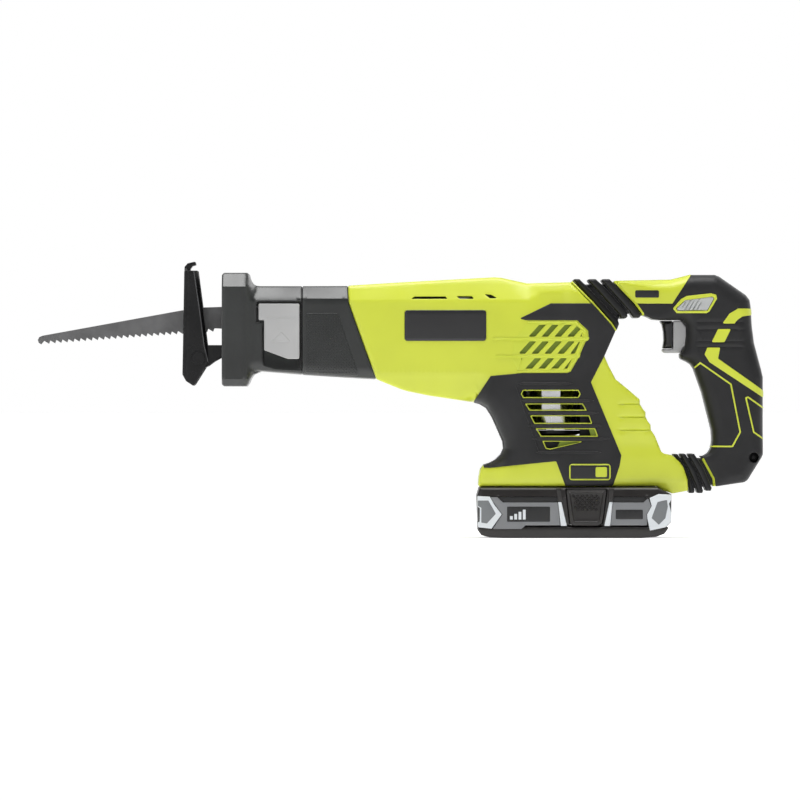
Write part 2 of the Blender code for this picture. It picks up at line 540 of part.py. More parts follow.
def build_side(m, side, label):
    outer = bevel_rim(prism(HOUSING, SEAM, BODY_HALF), BODY_HALF, 3.5)
    shell = add(f"housing_{label}", mirrored(taper(outer, BODY_STATIONS), side), m["green"])
    cavity = inset(HOUSING, WALL)
    cavity[0], cavity[-1], cavity[-2] = (-45, 175.2), (-45, 166), (-27, 113.5)
    combine(shell, mirrored(taper(prism(cavity, -4, BODY_HALF - WALL), BODY_STATIONS), side))
    combine(shell, prism([(107, 30), (153, 30), (153, 60), (107, 60)], -STEM_HALF - 1, STEM_HALF + 1))
    combine(shell, rod(GUIDE_BORE_R, 119, 150, (0, 0, UPPER_GUIDE_Z), "X", 16))
    combine(shell, rod(GUIDE_BORE_R, 185, 210, (0, 0, LOWER_GUIDE_Z), "X", 16))
    windows = [(90, 121), (117, 121), (127, 141), (127, 146), (122, 151), (90, 151)]
    combine(shell, mirrored(prism(windows, SIDE_CUT_LOW, SIDE_CUT_HIGH), side))
    windows = [(88, 104), (124, 104), (134, 76), (128, 66), (100, 66)]
    combine(shell, mirrored(prism(windows, SIDE_CUT_LOW, SIDE_CUT_HIGH), side))

    grip = taper(prism(BODY_GRIP, SKIN_LOW, SKIN_HIGH), BODY_STATIONS)
    add(f"body_grip_{label}", mirrored(grip, side), m["rubber"])
    guard = mirrored(taper(prism(MOTOR_GUARD, SKIN_LOW, SKIN_HIGH), BODY_STATIONS), side)
    guard = add(f"motor_guard_{label}", guard, m["rubber"])
    for slot in LOWER_SLOTS:
        combine(guard, mirrored(prism(slot, SIDE_CUT_LOW, SIDE_CUT_HIGH), side))
    grille = mirrored(prism(inset(GRILLE, 0.3), SKIN_LOW, SKIN_HIGH), side)
    grille = add(f"vent_grille_{label}", grille, m["green"])
    for slot in grille_slots():
        combine(grille, mirrored(prism(slot, SIDE_CUT_LOW, SIDE_CUT_HIGH), side))
    plate = taper(prism(NAMEPLATE, SKIN_LOW, SKIN_LOW + 0.9), BODY_STATIONS)
    add(f"nameplate_{label}", mirrored(plate, side), m["black_plastic"])

    outer = bevel_rim(prism(HANDLE, SEAM, HANDLE_HALF), HANDLE_HALF, 3.0)
    shell = add(f"handle_{label}", mirrored(taper(outer, HANDLE_STATIONS), side), m["rubber"])
    cavity = inset(HANDLE, WALL)
    combine(shell, mirrored(taper(prism(cavity, -4, HANDLE_HALF - WALL), HANDLE_STATIONS), side))
    combine(shell, rod(FLOAT_BORE_R, 140, 180, (0, 0, UPPER_GUIDE_Z), "X", 16))
    combine(shell, rod(FLOAT_BORE_R, 205, 225, (0, 0, LOWER_GUIDE_Z), "X", 16))
    mouth = [(178, 131), (206, 131), (206, 153.95), (178, 153.95)]
    combine(shell, prism(mouth, -TRIGGER_HALF - 0.4, TRIGGER_HALF + 0.4))
    combine(shell, prism(inset(LOCK_BUTTON, -0.4), -40, 40))

    latch_plate = mirrored(prism(LATCH, LATCH_LOW, LATCH_HIGH), side)
    add(f"battery_latch_{label}", latch_plate, m["black_plastic"], (130, side * 38, 22))
    for place, outline in (("front", FRONT_PANEL), ("rear", REAR_PANEL)):
        panel = mirrored(prism(outline, BATTERY_HALF + GAP, BATTERY_HALF + 0.9), side)
        add(f"battery_panel_{place}_{label}", panel, m["grey_plastic"])


def ribbed(name, core, ribs, half, look):
    """A bellows: ribs stand proud of a narrower core, bored for the guide rod."""
    obj = add(name, prism(core, -half + RIB_HEIGHT, half - RIB_HEIGHT), look)
    for outline in ribs:
        combine(obj, prism(outline, -half, half), "UNION")
    return obj


def build_handle_parts(m):
    upper = ribbed("upper_bellows", UPPER_CORE, UPPER_RIBS, UPPER_BELLOWS_HALF, m["bellows"])
    combine(upper, rod(GUIDE_BORE_R, 100, 190, (0, 0, UPPER_GUIDE_Z), "X", 16))
    lower = ribbed("lower_bellows", LOWER_CORE, LOWER_RIBS, LOWER_BELLOWS_HALF, m["bellows"])
    combine(lower, rod(GUIDE_BORE_R, 180, 230, (0, 0, LOWER_GUIDE_Z), "X", 16))
    guide = [(0, 0), (5.5, 0), (5.5, 2), (GUIDE_R, 2), (GUIDE_R, 68), (0, 68)]
    add("upper_guide_rod", turned(guide, (116, 0, UPPER_GUIDE_Z), "X", 20), m["steel"])
    guide = [(0, 0), (7, 0), (7, 3), (GUIDE_R, 3), (GUIDE_R, 51), (0, 51)]
    add("lower_guide_rod", turned(guide, (178, 0, LOWER_GUIDE_Z), "X", 20), m["steel"])
    add("trigger", prism(TRIGGER, -TRIGGER_HALF, TRIGGER_HALF), m["lever"], (192, 0, 142.5))
    add("trigger_pad", prism(TRIGGER_PAD, -TRIGGER_HALF, TRIGGER_HALF), m["black_plastic"], (192, 0, 142.5))
    switch = [(210.5, 134), (234, 134), (234, 152), (210.5, 152)]
    add("switch_body", prism(switch, -10, 10), m["black_plastic"])
    add("lock_button", prism(LOCK_BUTTON, -BUTTON_HALF, BUTTON_HALF), m["lever"], (206, 0, 165))


def build_battery(m):
    case = bevel_rim(prism(BATTERY_CASE, -BATTERY_HALF, BATTERY_HALF), BATTERY_HALF, 2.5)
    case = add("battery_case", bevel_rim(case, -BATTERY_HALF, 2.5), m["pack"], (130, 0, 37))
    stem = [(109, 35), (151, 35), (151, 62), (147, 66), (113, 66), (109, 62)]
    combine(case, prism(stem, -STEM_HALF, STEM_HALF), "UNION")
    room = [(56, 5), (56, 30.5), (58.5, 34), (176, 34), (185.8, 29), (185.8, 5)]
    combine(case, prism(room, -BATTERY_HALF + WALL, BATTERY_HALF - WALL))
    combine(case, prism(inset(LATCH, -0.4), -60, 60))
    pan = bevel_rim(prism(BATTERY_PAN, -BATTERY_HALF + 0.5, BATTERY_HALF - 0.5), BATTERY_HALF - 0.5, 2)
    pan = add("battery_pan", bevel_rim(pan, -BATTERY_HALF + 0.5, 2), m["pack"], (130, 0, 37))
    room = [(57, 7), (62, 4.4), (178, 4.4), (183, 7), (183, 20), (57, 20)]
    combine(pan, prism(room, -BATTERY_HALF + 3, BATTERY_HALF - 3))
    for number, x in enumerate(CELL_X, 1):
        cell = rod(CELL_R, -CELL_HALF, CELL_HALF, (x, 0, CELL_Z), "Y", 24)
        add(f"cell_{number}", cell, m["cell"], (130, 0, 37))
    block = [(116, 66.4), (144, 66.4), (144, 70), (116, 70)]
    add("battery_terminals", prism(block, -8, 8), m["copper"], (130, 0, 37))


def main():
    clear_scene()
    m = {
        "blade": material("blade_steel", (0.13, 0.13, 0.135), 0.45, 0.8),
        "steel": material("ground_steel", (0.45, 0.45, 0.46), 0.3, 1.0),
        "bronze": material("sintered_bronze", (0.5, 0.3, 0.12), 0.45, 1.0),
        "black_steel": material("black_coated_steel", (0.012, 0.012, 0.013), 0.4, 0.6),
        "boot": material("boot_rubber", (0.045, 0.052, 0.05), 0.55),
        "aluminium": material("cast_aluminium", (0.5, 0.5, 0.5), 0.5, 1.0),
        "lever": material("grey_lever", (0.42, 0.42, 0.42), 0.4),
        "green": material("green_housing", (0.54, 0.66, 0.028), 0.35),
        "rubber": material("black_overmould", (0.024, 0.024, 0.027), 0.6),
        "bellows": material("bellows_rubber", (0.014, 0.014, 0.015), 0.65),
        "black_plastic": material("black_plastic", (0.012, 0.012, 0.012), 0.35),
        "grey_plastic": material("grey_panel", (0.2, 0.205, 0.215), 0.5),
        "can": material("motor_can_steel", (0.55, 0.55, 0.56), 0.25, 1.0),
        "copper": material("copper", (0.6, 0.28, 0.14), 0.4, 1.0),
        "pack": material("battery_shell", (0.018, 0.014, 0.013), 0.5),
        "cell": material("cell_wrap", (0.05, 0.12, 0.3), 0.4),
    }
    build_working_end(m)
    build_nose(m)
    build_gear_case(m)
    build_drive(m)
    for side, label in ((-1, "left"), (1, "right")):
        build_side(m, side, label)
    build_handle_parts(m)
    build_battery(m)
    for obj in list(part.objects) + list(cutters.objects):
        obj.location += FLOOR_SHIFT


main()
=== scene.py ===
"""Looks of the battery reciprocating saw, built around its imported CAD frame. Outlines are in millimetres."""

import math

import bmesh
import bpy
import numpy as np
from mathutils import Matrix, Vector
from mathutils.geometry import delaunay_2d_cdt


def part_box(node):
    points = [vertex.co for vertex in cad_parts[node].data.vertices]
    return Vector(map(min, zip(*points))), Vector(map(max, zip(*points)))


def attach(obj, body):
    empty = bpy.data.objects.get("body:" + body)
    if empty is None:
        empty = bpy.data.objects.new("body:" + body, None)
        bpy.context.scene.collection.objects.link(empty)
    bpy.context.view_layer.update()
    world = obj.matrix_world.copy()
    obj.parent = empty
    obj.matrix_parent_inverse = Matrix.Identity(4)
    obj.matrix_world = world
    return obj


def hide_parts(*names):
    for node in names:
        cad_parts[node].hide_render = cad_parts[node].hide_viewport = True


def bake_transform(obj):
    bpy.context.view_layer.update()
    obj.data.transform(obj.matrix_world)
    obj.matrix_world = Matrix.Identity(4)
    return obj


MM = 0.001
SEAM = 0.12  # from the mid-plane to the edge of each half
SKIN = 0.8  # how far a piece laid on a skin reaches under it
EDGE_STEP = 1.3
LINE_STEP = 1.6
RIM_ANGLES = (22.5, 45.0, 67.5, 90.0)
STROKE_Z = 155.0
MOUTH_R = 18.1
THROAT_R = 11.5
SCREW = (247.3, 57.7)
BODY_TABLE = ((-38, 29.8), (-10, 31.4), (20, 34), (60, 37.3), (125, 37.3), (165, 32.8), (202, 25))
RIB_LINES = (95.0, 86.0, 77.0)
HANDLE_TABLE = ((148, 25.8), (165, 24.4), (180, 21.5), (195, 18.9), (256, 18.9))
GRIP_GROOVES = (152.5, 147.3, 139.0, 135.0)

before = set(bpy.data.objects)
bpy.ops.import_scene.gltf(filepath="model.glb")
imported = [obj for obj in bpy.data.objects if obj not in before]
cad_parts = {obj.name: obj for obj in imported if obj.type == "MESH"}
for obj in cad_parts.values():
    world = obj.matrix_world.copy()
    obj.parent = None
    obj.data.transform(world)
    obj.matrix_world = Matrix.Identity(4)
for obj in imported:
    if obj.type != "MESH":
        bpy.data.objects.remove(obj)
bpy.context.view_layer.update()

# The outlines' datum: x = -255 is the blade's tip and z = 1.6 is the floor under the battery.
DATUM = np.array([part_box("blade")[0].x / MM + 255.0, 0.0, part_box("battery_pan")[0].z / MM - 1.6])


def box(left, low, right, high):
    return [(left, low), (right, low), (right, high), (left, high)]


def circle(x, z, radius, count):
    angles = np.linspace(0, math.tau, count + 1)[:-1]
    return [(x + radius * math.cos(a), z + radius * math.sin(a)) for a in angles]


# Outlines, (x, z) in millimetres from the datum

# Nose
BOOT = [
    (-125.3, 109), (-123.8, 107.5), (-108, 107.5), (-106.5, 109.5), (-105, 113), (-103, 115.8), (-98, 118),
    (-69.3, 115.7), (-69.3, 177.7), (-98.5, 177.7), (-101, 178), (-102.6, 178.7), (-104, 180),
    (-105.2, 182), (-106, 184.4), (-106.3, 186), (-107.4, 187), (-123.8, 187), (-125.3, 185.5),
]
LEVER = [
    (-99.6, 165.4), (-71, 165.4), (-71, 126.7), (-79, 126.7), (-95.7, 132.8), (-95.7, 153.8),
    (-99.6, 153.8),
]
LEVER_POCKET = [
    (-100.9, 166.9), (-69.9, 166.9), (-69.9, 118.4), (-88, 119.6), (-96, 122.5), (-97, 130), (-97, 152.4),
    (-100.9, 152.4),
]
LEVER_MARK = [(-90.5, 138.6), (-77, 138.6), (-83.6, 145.6)]
SLEEVE = [(-69, 115.6), (-26, 112.9), (-17.35, 112.5), (-36.75, 166), (-37.2, 177.8), (-69, 177.7)]
SLEEVE_PANEL = [(-67, 117), (-29.2, 114.8), (-44.2, 158.6), (-67, 158.6)]

# Shoe
SHOE_SIDE = [
    (-153.3, 116), (-153, 130), (-152, 188.7), (-142.3, 188.7), (-138.9, 162.8), (-135.7, 136.5),
    (-135, 124.6), (-136.9, 120.6), (-142.3, 111.9), (-144.2, 108.9), (-145.6, 107.9), (-150.6, 111.2),
]
SHOE_RIDGE = (
    (107, -134.4), (124.6, -134.6), (135.4, -137.3), (162.8, -140.9), (188, -144.6), (190, -144.8),
)
SHOE_FRONT = [(-14.4, 116), (14.4, 116), (14.4, 187.6), (10, 190.4), (-10, 190.4), (-14.4, 187.6)]
BLADE_SLOT = [(-4, 133), (4, 133), (4, 176), (0, 180), (-4, 176)]
SHOE_PIVOT = (-142.6, 0, 127.3)
SHOE_HOOK = [
    (-152, 187), (-151.8, 191.4), (-149.6, 193.9), (-145.8, 194.8), (-144.2, 195), (-143.6, 192.6),
    (-146, 192), (-147.4, 190.3), (-148, 187),
]

# Housing
FRONT_THROAT = [
    (50, 96.5), (55, 95.5), (60, 92.5), (64, 86), (68, 77), (71.5, 69), (72, 64), (70, 59.5), (66.5, 56),
    (62, 53.5),
]
HOUSING = [
    (-37.1, 178), (0, 180.3), (65, 183.8), (70, 183.5), (88, 179.5), (118.5, 180.3), (133, 165.5),
    (146.5, 150.5), (149.5, 146), (142, 129), (145, 122), (150, 112.5), (158, 106), (164.6, 100.3),
    (166.9, 98.4), (167, 95.2), (169, 91.8), (170.9, 89.6), (171, 86.2), (172.8, 82.8), (174.5, 80.8),
    (174.6, 77.4), (177.5, 73), (182, 62), (184, 60.6), (189.5, 59.5), (195, 54.5), (197.5, 51),
    (200.5, 42), (201, 34.5), (190, 32.5), (183, 35), (179, 37.6), (54, 37.6), (54.5, 44), (55.5, 49.5),
    (57.8, 52.3), *reversed(FRONT_THROAT), (20, 101), (5, 104), (0, 105.5), (-10, 109.5), (-17.2, 112.5),
    (-36.6, 166),
]
OVERMOULD = [
    (82.5, 154.8), (104.5, 165.5), (133.2, 165.5), (146.8, 150.4), (149.7, 146), (142.2, 129),
    (132.6, 110.4), (153.9, 59.3), (152.7, 52), (148, 37.9), (114.8, 37.9), (108.3, 55.2), (62, 50.6),
    (57.6, 50.8), (57.6, 52.5), (61.9, 53.8), (66.3, 56.2), (69.8, 59.7), (71.75, 64), (71.2, 68.9),
    (67.7, 76.9), (63.7, 85.9), (59.7, 92.3), (54.9, 95.2), (50.4, 96.2), (62.5, 114.8), (85, 116.9),
    (116, 116.9), (118.4, 117.8), (124.2, 128), (128.5, 138), (131, 140.8), (130.6, 146.4), (123, 153.6),
    (87, 153.7),
]
NAMEPLATE = box(2.5, 139.3, 59.5, 160.7)
BADGE = box(118.4, 43, 145.4, 52.4)
BADGE_BLOCK = box(135.8, 44.2, 143.8, 51.2)
FLANK_GROOVES = (
    [(8, 132.4), (56, 132.6), (60, 133.4), (67, 140), (72, 140.7), (90, 140.7)],
    [(20, 128.5), (82, 128.5)],
)
GUARD_PANEL = [(80.5, 107.5), (97.5, 59.5)]

# Vents
GRILLE = [
    (88.7, 153), (122.5, 152.8), (129.5, 146), (130, 140.7), (127.3, 138), (123.2, 128), (117.6, 118.3),
    (115, 117.4), (82.3, 117.4), (77, 128), (79, 141),
]
VENT_RIM = [
    (88.4, 152.5), (122.3, 152.3), (129, 145.8), (129.4, 140.8), (126.6, 138), (122.7, 128),
    (117.2, 118.7), (114.8, 118), (80.5, 118),
]
VENT_BARS = ([(64, 140.7), (131.2, 140.7)], [(66, 128.5), (125, 128.5)])
TOP_SLOTS = (
    [(7, 168.6), (9.5, 170.3), (31, 170.3), (32.5, 168.6)],
    [(38.5, 170.5), (49.5, 170.5), (51, 168.6), (41, 168.6)],
    [(58, 172), (63, 171.5), (67.5, 169), (62, 169)],
)
LOWER_SLOTS = (
    [(85.5, 100), (123.5, 100), (124.7, 102.3), (123.5, 104.5), (85.5, 104.5), (84.3, 102.3)],
    [(87.5, 95), (126.5, 95), (128.7, 91.2), (90, 91.2)],
    [(91, 86.7), (131, 86.7), (132.7, 82), (93.5, 82)],
    [(95, 77.7), (135, 77.7), (136.8, 73), (98, 73)],
    [(99.5, 69), (127, 69), (104, 64), (101.5, 64.5)],
)

# Handle
HANDLE = [
    (149.3, 181), (189, 182), (203.5, 185.7), (220, 185.7), (223, 184.6), (242, 171.4), (244.5, 168),
    (245.2, 163), (246, 150), (247.5, 138), (252.3, 120), (253.7, 114), (253.7, 60), (252.6, 57.5),
    (243, 42), (240.6, 40.3), (219, 37.2), (218.4, 43), (211.5, 56.5), (209.3, 58.9), (212, 58.7),
    (215.5, 61), (217.5, 65), (218, 70), (217.5, 77), (215, 87), (211, 103), (205, 120), (203, 123),
    (200, 125), (195.5, 127), (195.3, 130.5), (196.5, 131), (198.5, 135), (199.5, 143), (199.3, 150),
    (197, 153.9), (181, 154), (176, 154.5), (172.5, 156.3), (169, 157.4), (163.5, 166),
]
HANDLE_PANEL = [(149, 181.4), (189, 182.4), (203.5, 186.1), (190, 165.5), (163.6, 165.5)]
LOCK_RING = [
    (190.3, 162), (196, 168.7), (200, 170.8), (217, 172.7), (220.7, 171.7), (221.3, 169), (216, 160),
    (214, 158.8), (193, 158.8),
]
LOCK_BUTTON = [(193, 162), (199, 167.5), (218, 170), (219, 169), (214.5, 161), (194, 160.7)]
UPPER_STRIPE = [
    (245.5, 162), (236, 162), (230, 158.5), (225, 151.5), (233.5, 151.5), (235.5, 154), (239, 156.5),
    (245.8, 157.5),
]
PARALLELOGRAM = [(222, 147.7), (231, 147.7), (226.5, 138.5), (217.5, 138.5)]
LOWER_STRIPE = [
    (214.5, 134.7), (223.5, 134.7), (222, 127), (254, 104.5), (254, 99.5), (216, 124.5), (212.5, 130),
]
FINE_LINE = [(205.5, 120.5), (209.5, 124), (231, 109), (237.5, 75.5), (232, 65.5), (217, 65.5)]
REAR_LINE = [(253.9, 92.4), (243, 100), (241.5, 99.5), (247, 75.5), (253.9, 70.8)]
TRIGGER = [
    (184.4, 131), (196, 131), (198.2, 135), (203.3, 136), (203.3, 150), (199, 150.2), (196.8, 153.5),
    (190.7, 153.5), (190.7, 133.9), (183.3, 133.9), (183.1, 132.4),
]
TRIGGER_PAD = [
    (181.2, 153.5), (183, 151), (184, 146), (184.3, 140), (183.8, 136), (183.3, 134.2), (190.4, 134.2),
    (190.4, 153.5),
]

# Bellows
UPPER_RIBS = (
    [
        (119.8, 182.6), (124.8, 182.6), (131.6, 176), (151.6, 154.6), (152.6, 151.2), (151, 147),
        (149.6, 147.4), (147, 151.6),
    ],
    [
        (129.7, 182.6), (136.2, 182.6), (142, 177.4), (157.6, 160.6), (158.6, 156.4), (157, 155),
        (153.4, 155), (152.6, 157.6),
    ],
    [
        (139.3, 182.6), (145.8, 182.6), (151.8, 177), (164.6, 163), (168, 157.6), (166.8, 155.5),
        (162.4, 155.5), (159.6, 160),
    ],
)
UPPER_CORE = [
    (119.6, 178.8), (131.4, 166.6), (144.6, 151.6), (147.6, 149.8), (151.6, 152), (153, 157.2),
    (160.6, 158.6), (168.4, 159.4), (166, 165.6), (152.4, 179.2),
]
LOWER_RIBS = (
    [
        (190, 60.2), (193.6, 60.2), (200.4, 49.6), (205.6, 35), (205.2, 32.8), (201.6, 32.8), (201, 42),
        (195.4, 54),
    ],
    [
        (194.8, 60.4), (199, 60.4), (206.2, 49), (211.6, 34.6), (211, 32.8), (207.4, 32.8), (206, 38.6),
        (201.4, 48.6),
    ],
    [
        (200.4, 60.4), (205.2, 60.4), (212.2, 49.6), (217.6, 36.4), (217, 34.4), (213.4, 34.4),
        (211.8, 39), (207, 49),
    ],
)
LOWER_CORE = [
    (188, 57.4), (196, 53.4), (200, 42), (200.4, 37), (206, 36), (217, 38.2), (222, 40), (221.4, 44),
    (214.4, 57), (207.6, 57.4),
]

# Battery
BATTERY_CASE = [(53.8, 10), (53, 31), (54.8, 37.1), (179.4, 37.1), (188.8, 32.2), (188.8, 13), (186, 10)]
BATTERY_PAN = [
    (53.6, 9.7), (53.7, 6.8), (56, 3.6), (62, 2), (72, 1.6), (168, 1.6), (178, 2.4), (184, 4.6),
    (187.6, 9.7),
]
BAND_RECESS = (
    [(67.6, 30.5), (71.6, 26.8), (109.6, 26.8), (109, 30.5)],
    [(148.4, 30.5), (148, 26.8), (169, 26.8), (171.6, 30.5)],
)
FRONT_PANEL = [
    (62.4, 30.3), (67.2, 30.3), (71.2, 26.5), (109.3, 26.5), (111.1, 10.5), (87, 10.5), (84, 8), (64, 8),
    (70.8, 18.2), (66.2, 24.2),
]
REAR_PANEL = [
    (147.7, 26.5), (169.2, 26.5), (172.4, 29.4), (174.6, 24), (171.4, 18.2), (171.6, 10.5), (146.3, 10.5),
]
FRONT_ACCENT = [
    (53.3, 31), (61.9, 30.6), (65.7, 24.1), (70.3, 18.2), (63.2, 8.2), (53.9, 9.2), (53.4, 12.4),
    (54.9, 13.2), (55, 22.6), (53.4, 23.6),
]
FRONT_INLAY = [(53.6, 27.9), (61, 27.9), (66.2, 18.6), (60, 11.8), (56, 12.4), (56, 22.8), (53.6, 23.9)]
REAR_ACCENT = [
    (173.4, 29.6), (179.8, 32.4), (188.5, 32), (188.5, 28.6), (187, 25.6), (188.7, 19), (188.6, 13.4),
    (184.5, 9.2), (173.7, 6.9), (171.9, 15.5), (171.7, 18.2), (175, 24.1),
]
REAR_INLAY = [(179, 26.9), (185.6, 28.3), (186.2, 23.7), (184.5, 15.5), (179.9, 10.9), (174.8, 15.6)]
LATCH_STRIPS = (
    [(109.6, 26.8), (111.9, 26.8), (115.8, 10.1), (111.5, 10.1)],
    [(145.4, 26.8), (147.6, 26.8), (146, 10.1), (141.8, 10.1)],
)
LATCH_PILLARS = (
    [(108.2, 36.4), (112, 36.4), (113, 27), (109.9, 27)],
    [(145, 36.4), (148.9, 36.4), (147.5, 27), (144.4, 27)],
)
LATCH = [(115.2, 35.4), (143.6, 35.4), (140.4, 12), (137.6, 10.3), (120.4, 10.3), (118, 12)]
LATCH_FRAME = [(117.6, 33.6), (141.2, 33.6), (138.4, 14.2), (137, 13), (121.4, 13), (120.2, 14.2)]
# Plane geometry on (x, z) outlines


def loop_area(points):
    nxt = np.roll(points, -1, axis=0)
    return float((points[:, 0] * nxt[:, 1] - nxt[:, 0] * points[:, 1]).sum() / 2)


def rounded(outline, radius):
    """The outline, anticlockwise, with each corner turned into an arc of about this radius."""
    corners = np.array(outline, float)
    if loop_area(corners) < 0:
        corners = corners[::-1]
    if radius <= 0:
        return corners
    slight_turn, arc_step = 0.12, 18
    made = []
    for i, here in enumerate(corners):
        back, ahead = corners[i - 1] - here, corners[(i + 1) % len(corners)] - here
        lb, la = np.linalg.norm(back), np.linalg.norm(ahead)
        cosine = float(np.clip(back @ ahead / (lb * la), -1, 1))
        turn = math.pi - math.acos(cosine)
        if turn < slight_turn:
            made.append(here)
            continue
        reach = min(radius * math.tan(turn / 2), 0.45 * lb, 0.45 * la)
        start, end = here + back / lb * reach, here + ahead / la * reach
        steps = max(2, int(math.degrees(turn) / arc_step))
        for t in (k / steps for k in range(steps + 1)):
            made.append((1 - t) ** 2 * start + 2 * t * (1 - t) * here + t * t * end)
    return np.array(made)


def resampled(points, step, closed=True):
    """Points along the line at most one step apart, its own points kept."""
    made = []
    last = len(points) if closed else len(points) - 1
    for i in range(last):
        a, b = points[i], points[(i + 1) % len(points)]
        parts = max(1, int(math.ceil(np.linalg.norm(b - a) / step)))
        made.extend(a + (b - a) * k / parts for k in range(parts))
    if not closed:
        made.append(points[-1])
    return np.array(made)


def distance_to(points, line, closed=True):
    """Distance from each point to the nearest stretch of the line."""
    a = line if closed else line[:-1]
    b = np.roll(line, -1, axis=0) if closed else line[1:]
    best = np.full(len(points), 1e9)
    for p, q in zip(a, b):
        d = q - p
        t = np.clip(((points - p) @ d) / max(d @ d, 1e-12), 0, 1)
        best = np.minimum(best, np.linalg.norm(points - (p + t[:, None] * d), axis=1))
    return best


def away_from(line, x, z, closed=False):
    return distance_to(np.stack([x, z], axis=1), np.array(line, float), closed)


def inside(points, loop):
    crossed = np.zeros(len(points), bool)
    for p, q in zip(loop, np.roll(loop, -1, axis=0)):
        if p[1] == q[1]:
            continue
        between = (points[:, 1] > min(p[1], q[1])) & (points[:, 1] <= max(p[1], q[1]))
        at = p[0] + (points[:, 1] - p[1]) * (q[0] - p[0]) / (q[1] - p[1])
        crossed ^= between & (points[:, 0] < at)
    return crossed


def clear_of(points, holes, gap):
    """Which points are outside every hole by more than the gap."""
    keep = np.ones(len(points), bool)
    for hole in holes:
        keep &= ~inside(points, hole) & (distance_to(points, hole) > gap)
    return keep


def mitre(before, after):
    """The sideways direction where two stretches of a line meet, and how far the corner stretches it."""
    n1 = np.array([-before[1], before[0]]) / np.linalg.norm(before)
    n2 = np.array([-after[1], after[0]]) / np.linalg.norm(after)
    middle = (n1 + n2) / np.linalg.norm(n1 + n2)
    return middle, max(float(middle @ n1), 0.4)


def inset(outline, distance):
    """The outline moved inwards by the distance, corner by corner; a negative distance grows it."""
    corners = rounded(outline, 0)
    made = []
    for i, here in enumerate(corners):
        sideways, cosine = mitre(here - corners[i - 1], corners[(i + 1) % len(corners)] - here)
        made.append(here + sideways * distance / cosine)
    return np.array(made)


def stroke(line, width):
    """A closed outline of this width along an open line."""
    points = np.array(line, float)
    last = len(points) - 1
    sides = []
    for i in range(len(points)):
        before = points[max(i, 1)] - points[max(i - 1, 0)]
        after = points[min(i + 1, last)] - points[min(i, last - 1)]
        sideways, cosine = mitre(before, after)
        sides.append(sideways * width / 2 / cosine)
    sides = np.array(sides)
    return np.concatenate([points + sides, (points - sides)[::-1]])


def offset_line(line, distance):
    """An open line moved to its left by the distance."""
    points = resampled(np.array(line, float), LINE_STEP, closed=False)
    along = np.gradient(points, axis=0)
    normal = np.stack([-along[:, 1], along[:, 0]], axis=1) / np.linalg.norm(along, axis=1)[:, None]
    return points + normal * distance


def inward(loop):
    """The inward direction at each point of an anticlockwise loop."""
    ahead = np.roll(loop, -1, axis=0) - np.roll(loop, 1, axis=0)
    normal = np.stack([-ahead[:, 1], ahead[:, 0]], axis=1)
    return normal / np.maximum(np.linalg.norm(normal, axis=1), 1e-9)[:, None]


def ramp(value, low, high):
    t = np.clip((value - low) / (high - low), 0, 1)
    return t * t * (3 - 2 * t)


def quarter(distance, radius):
    """How far a rounded rim has dropped at this distance in from its edge."""
    radius = np.maximum(radius, 1e-6)
    left = np.clip(radius - distance, 0, radius)
    return radius - np.sqrt(np.maximum(radius * radius - left * left, 0))


# Half-widths of the tool, from the mid-plane, as functions of x and z


def stations(x, table):
    return np.interp(x, *zip(*table))


def over(profile, rise):
    return lambda x, z: profile(x, z) + rise


def constant(value):
    return lambda x, z: np.full(len(x), float(value))


def shoulder(z):
    """How far the neck's side has leant in at this height, up its broad upper chamfer."""
    rise = np.maximum(z - 167.9, 0)
    return 1.05 * np.where(rise < 1.6, rise**2 / 3.2, rise - 0.8)


def sleeve_profile(x, z):
    """The neck: flat sides, a broad chamfer above and a small rounding along its sloping foot."""
    foot = 118 - (x + 98) * 0.068
    return 29.5 - shoulder(z) - quarter(z - foot, 6.0)


def nose_profile(x, z):
    """The boot's bumper collar with its long chamfers, running into the neck."""
    collar = ((-125.3, 33.2), (-124.4, 34), (-109.1, 34), (-106.4, 31.6), (-105.2, 30.6), (-98, 29.5))
    bumper = stations(x, collar) - np.maximum(z - 177.3, 0) * 0.95 - np.maximum(112.5 - z, 0) * 1.1
    return bumper + (sleeve_profile(x, z) - bumper) * ramp(x, -107, -100.8)


def with_flank_ribs(half, x, z):
    """The half-width with the rear flank's overlapping steps, each with a groove above it."""
    for level in RIB_LINES:
        below = np.clip((level - z) / 8.6, 0, 1) * (z < level)
        groove = np.clip(1 - np.abs(z - level) / 1.2, 0, 1)
        half = half - ramp(x, 150, 156) * (groove - 0.5 * (1 - below) * (z < level) * (z > 70))
    return half


def body_profile(x, z):
    """The green housing: flat flanks, a long facet up to the top and another down to the belly."""
    half = stations(x, BODY_TABLE)
    step = np.clip((x - 88 - 0.95 * (166 - z)) / 13, 0, 1) * ramp(z, 156, 165) * (1 - ramp(x, 112, 120))
    crease = 167.5 + 6.0 * ramp(x, 88, 100)
    half = half - np.maximum(z - crease, 0) * 0.45 - 1.5 * step
    belly = np.clip((62 - x) / 10, 0, 1)
    half = half - np.clip(117 - z, 0, 22) * 0.36 * belly * ramp(z, 80, 92)
    half = half - 0.0007 * (z - 142) ** 2 * ramp(z, 100, 125)
    throat = away_from(FRONT_THROAT, x, z)
    half = half - quarter(throat, THROAT_R) * ramp(z, 50, 55) * (1 - ramp(z, 93, 106))
    half = with_flank_ribs(half, x, z)
    half = half - 0.1 * np.maximum(z - 58.3, 0) * ramp(x, 150, 156) * (1 - ramp(z, 62, 74))
    half = half - np.maximum(41 - z, 0) * 0.6
    for line in FLANK_GROOVES:
        half = half - 0.3 * np.clip(1 - away_from(line, x, z) / 0.7, 0, 1)
    return half


HANDLE_LOOP = rounded(HANDLE, 2.5)


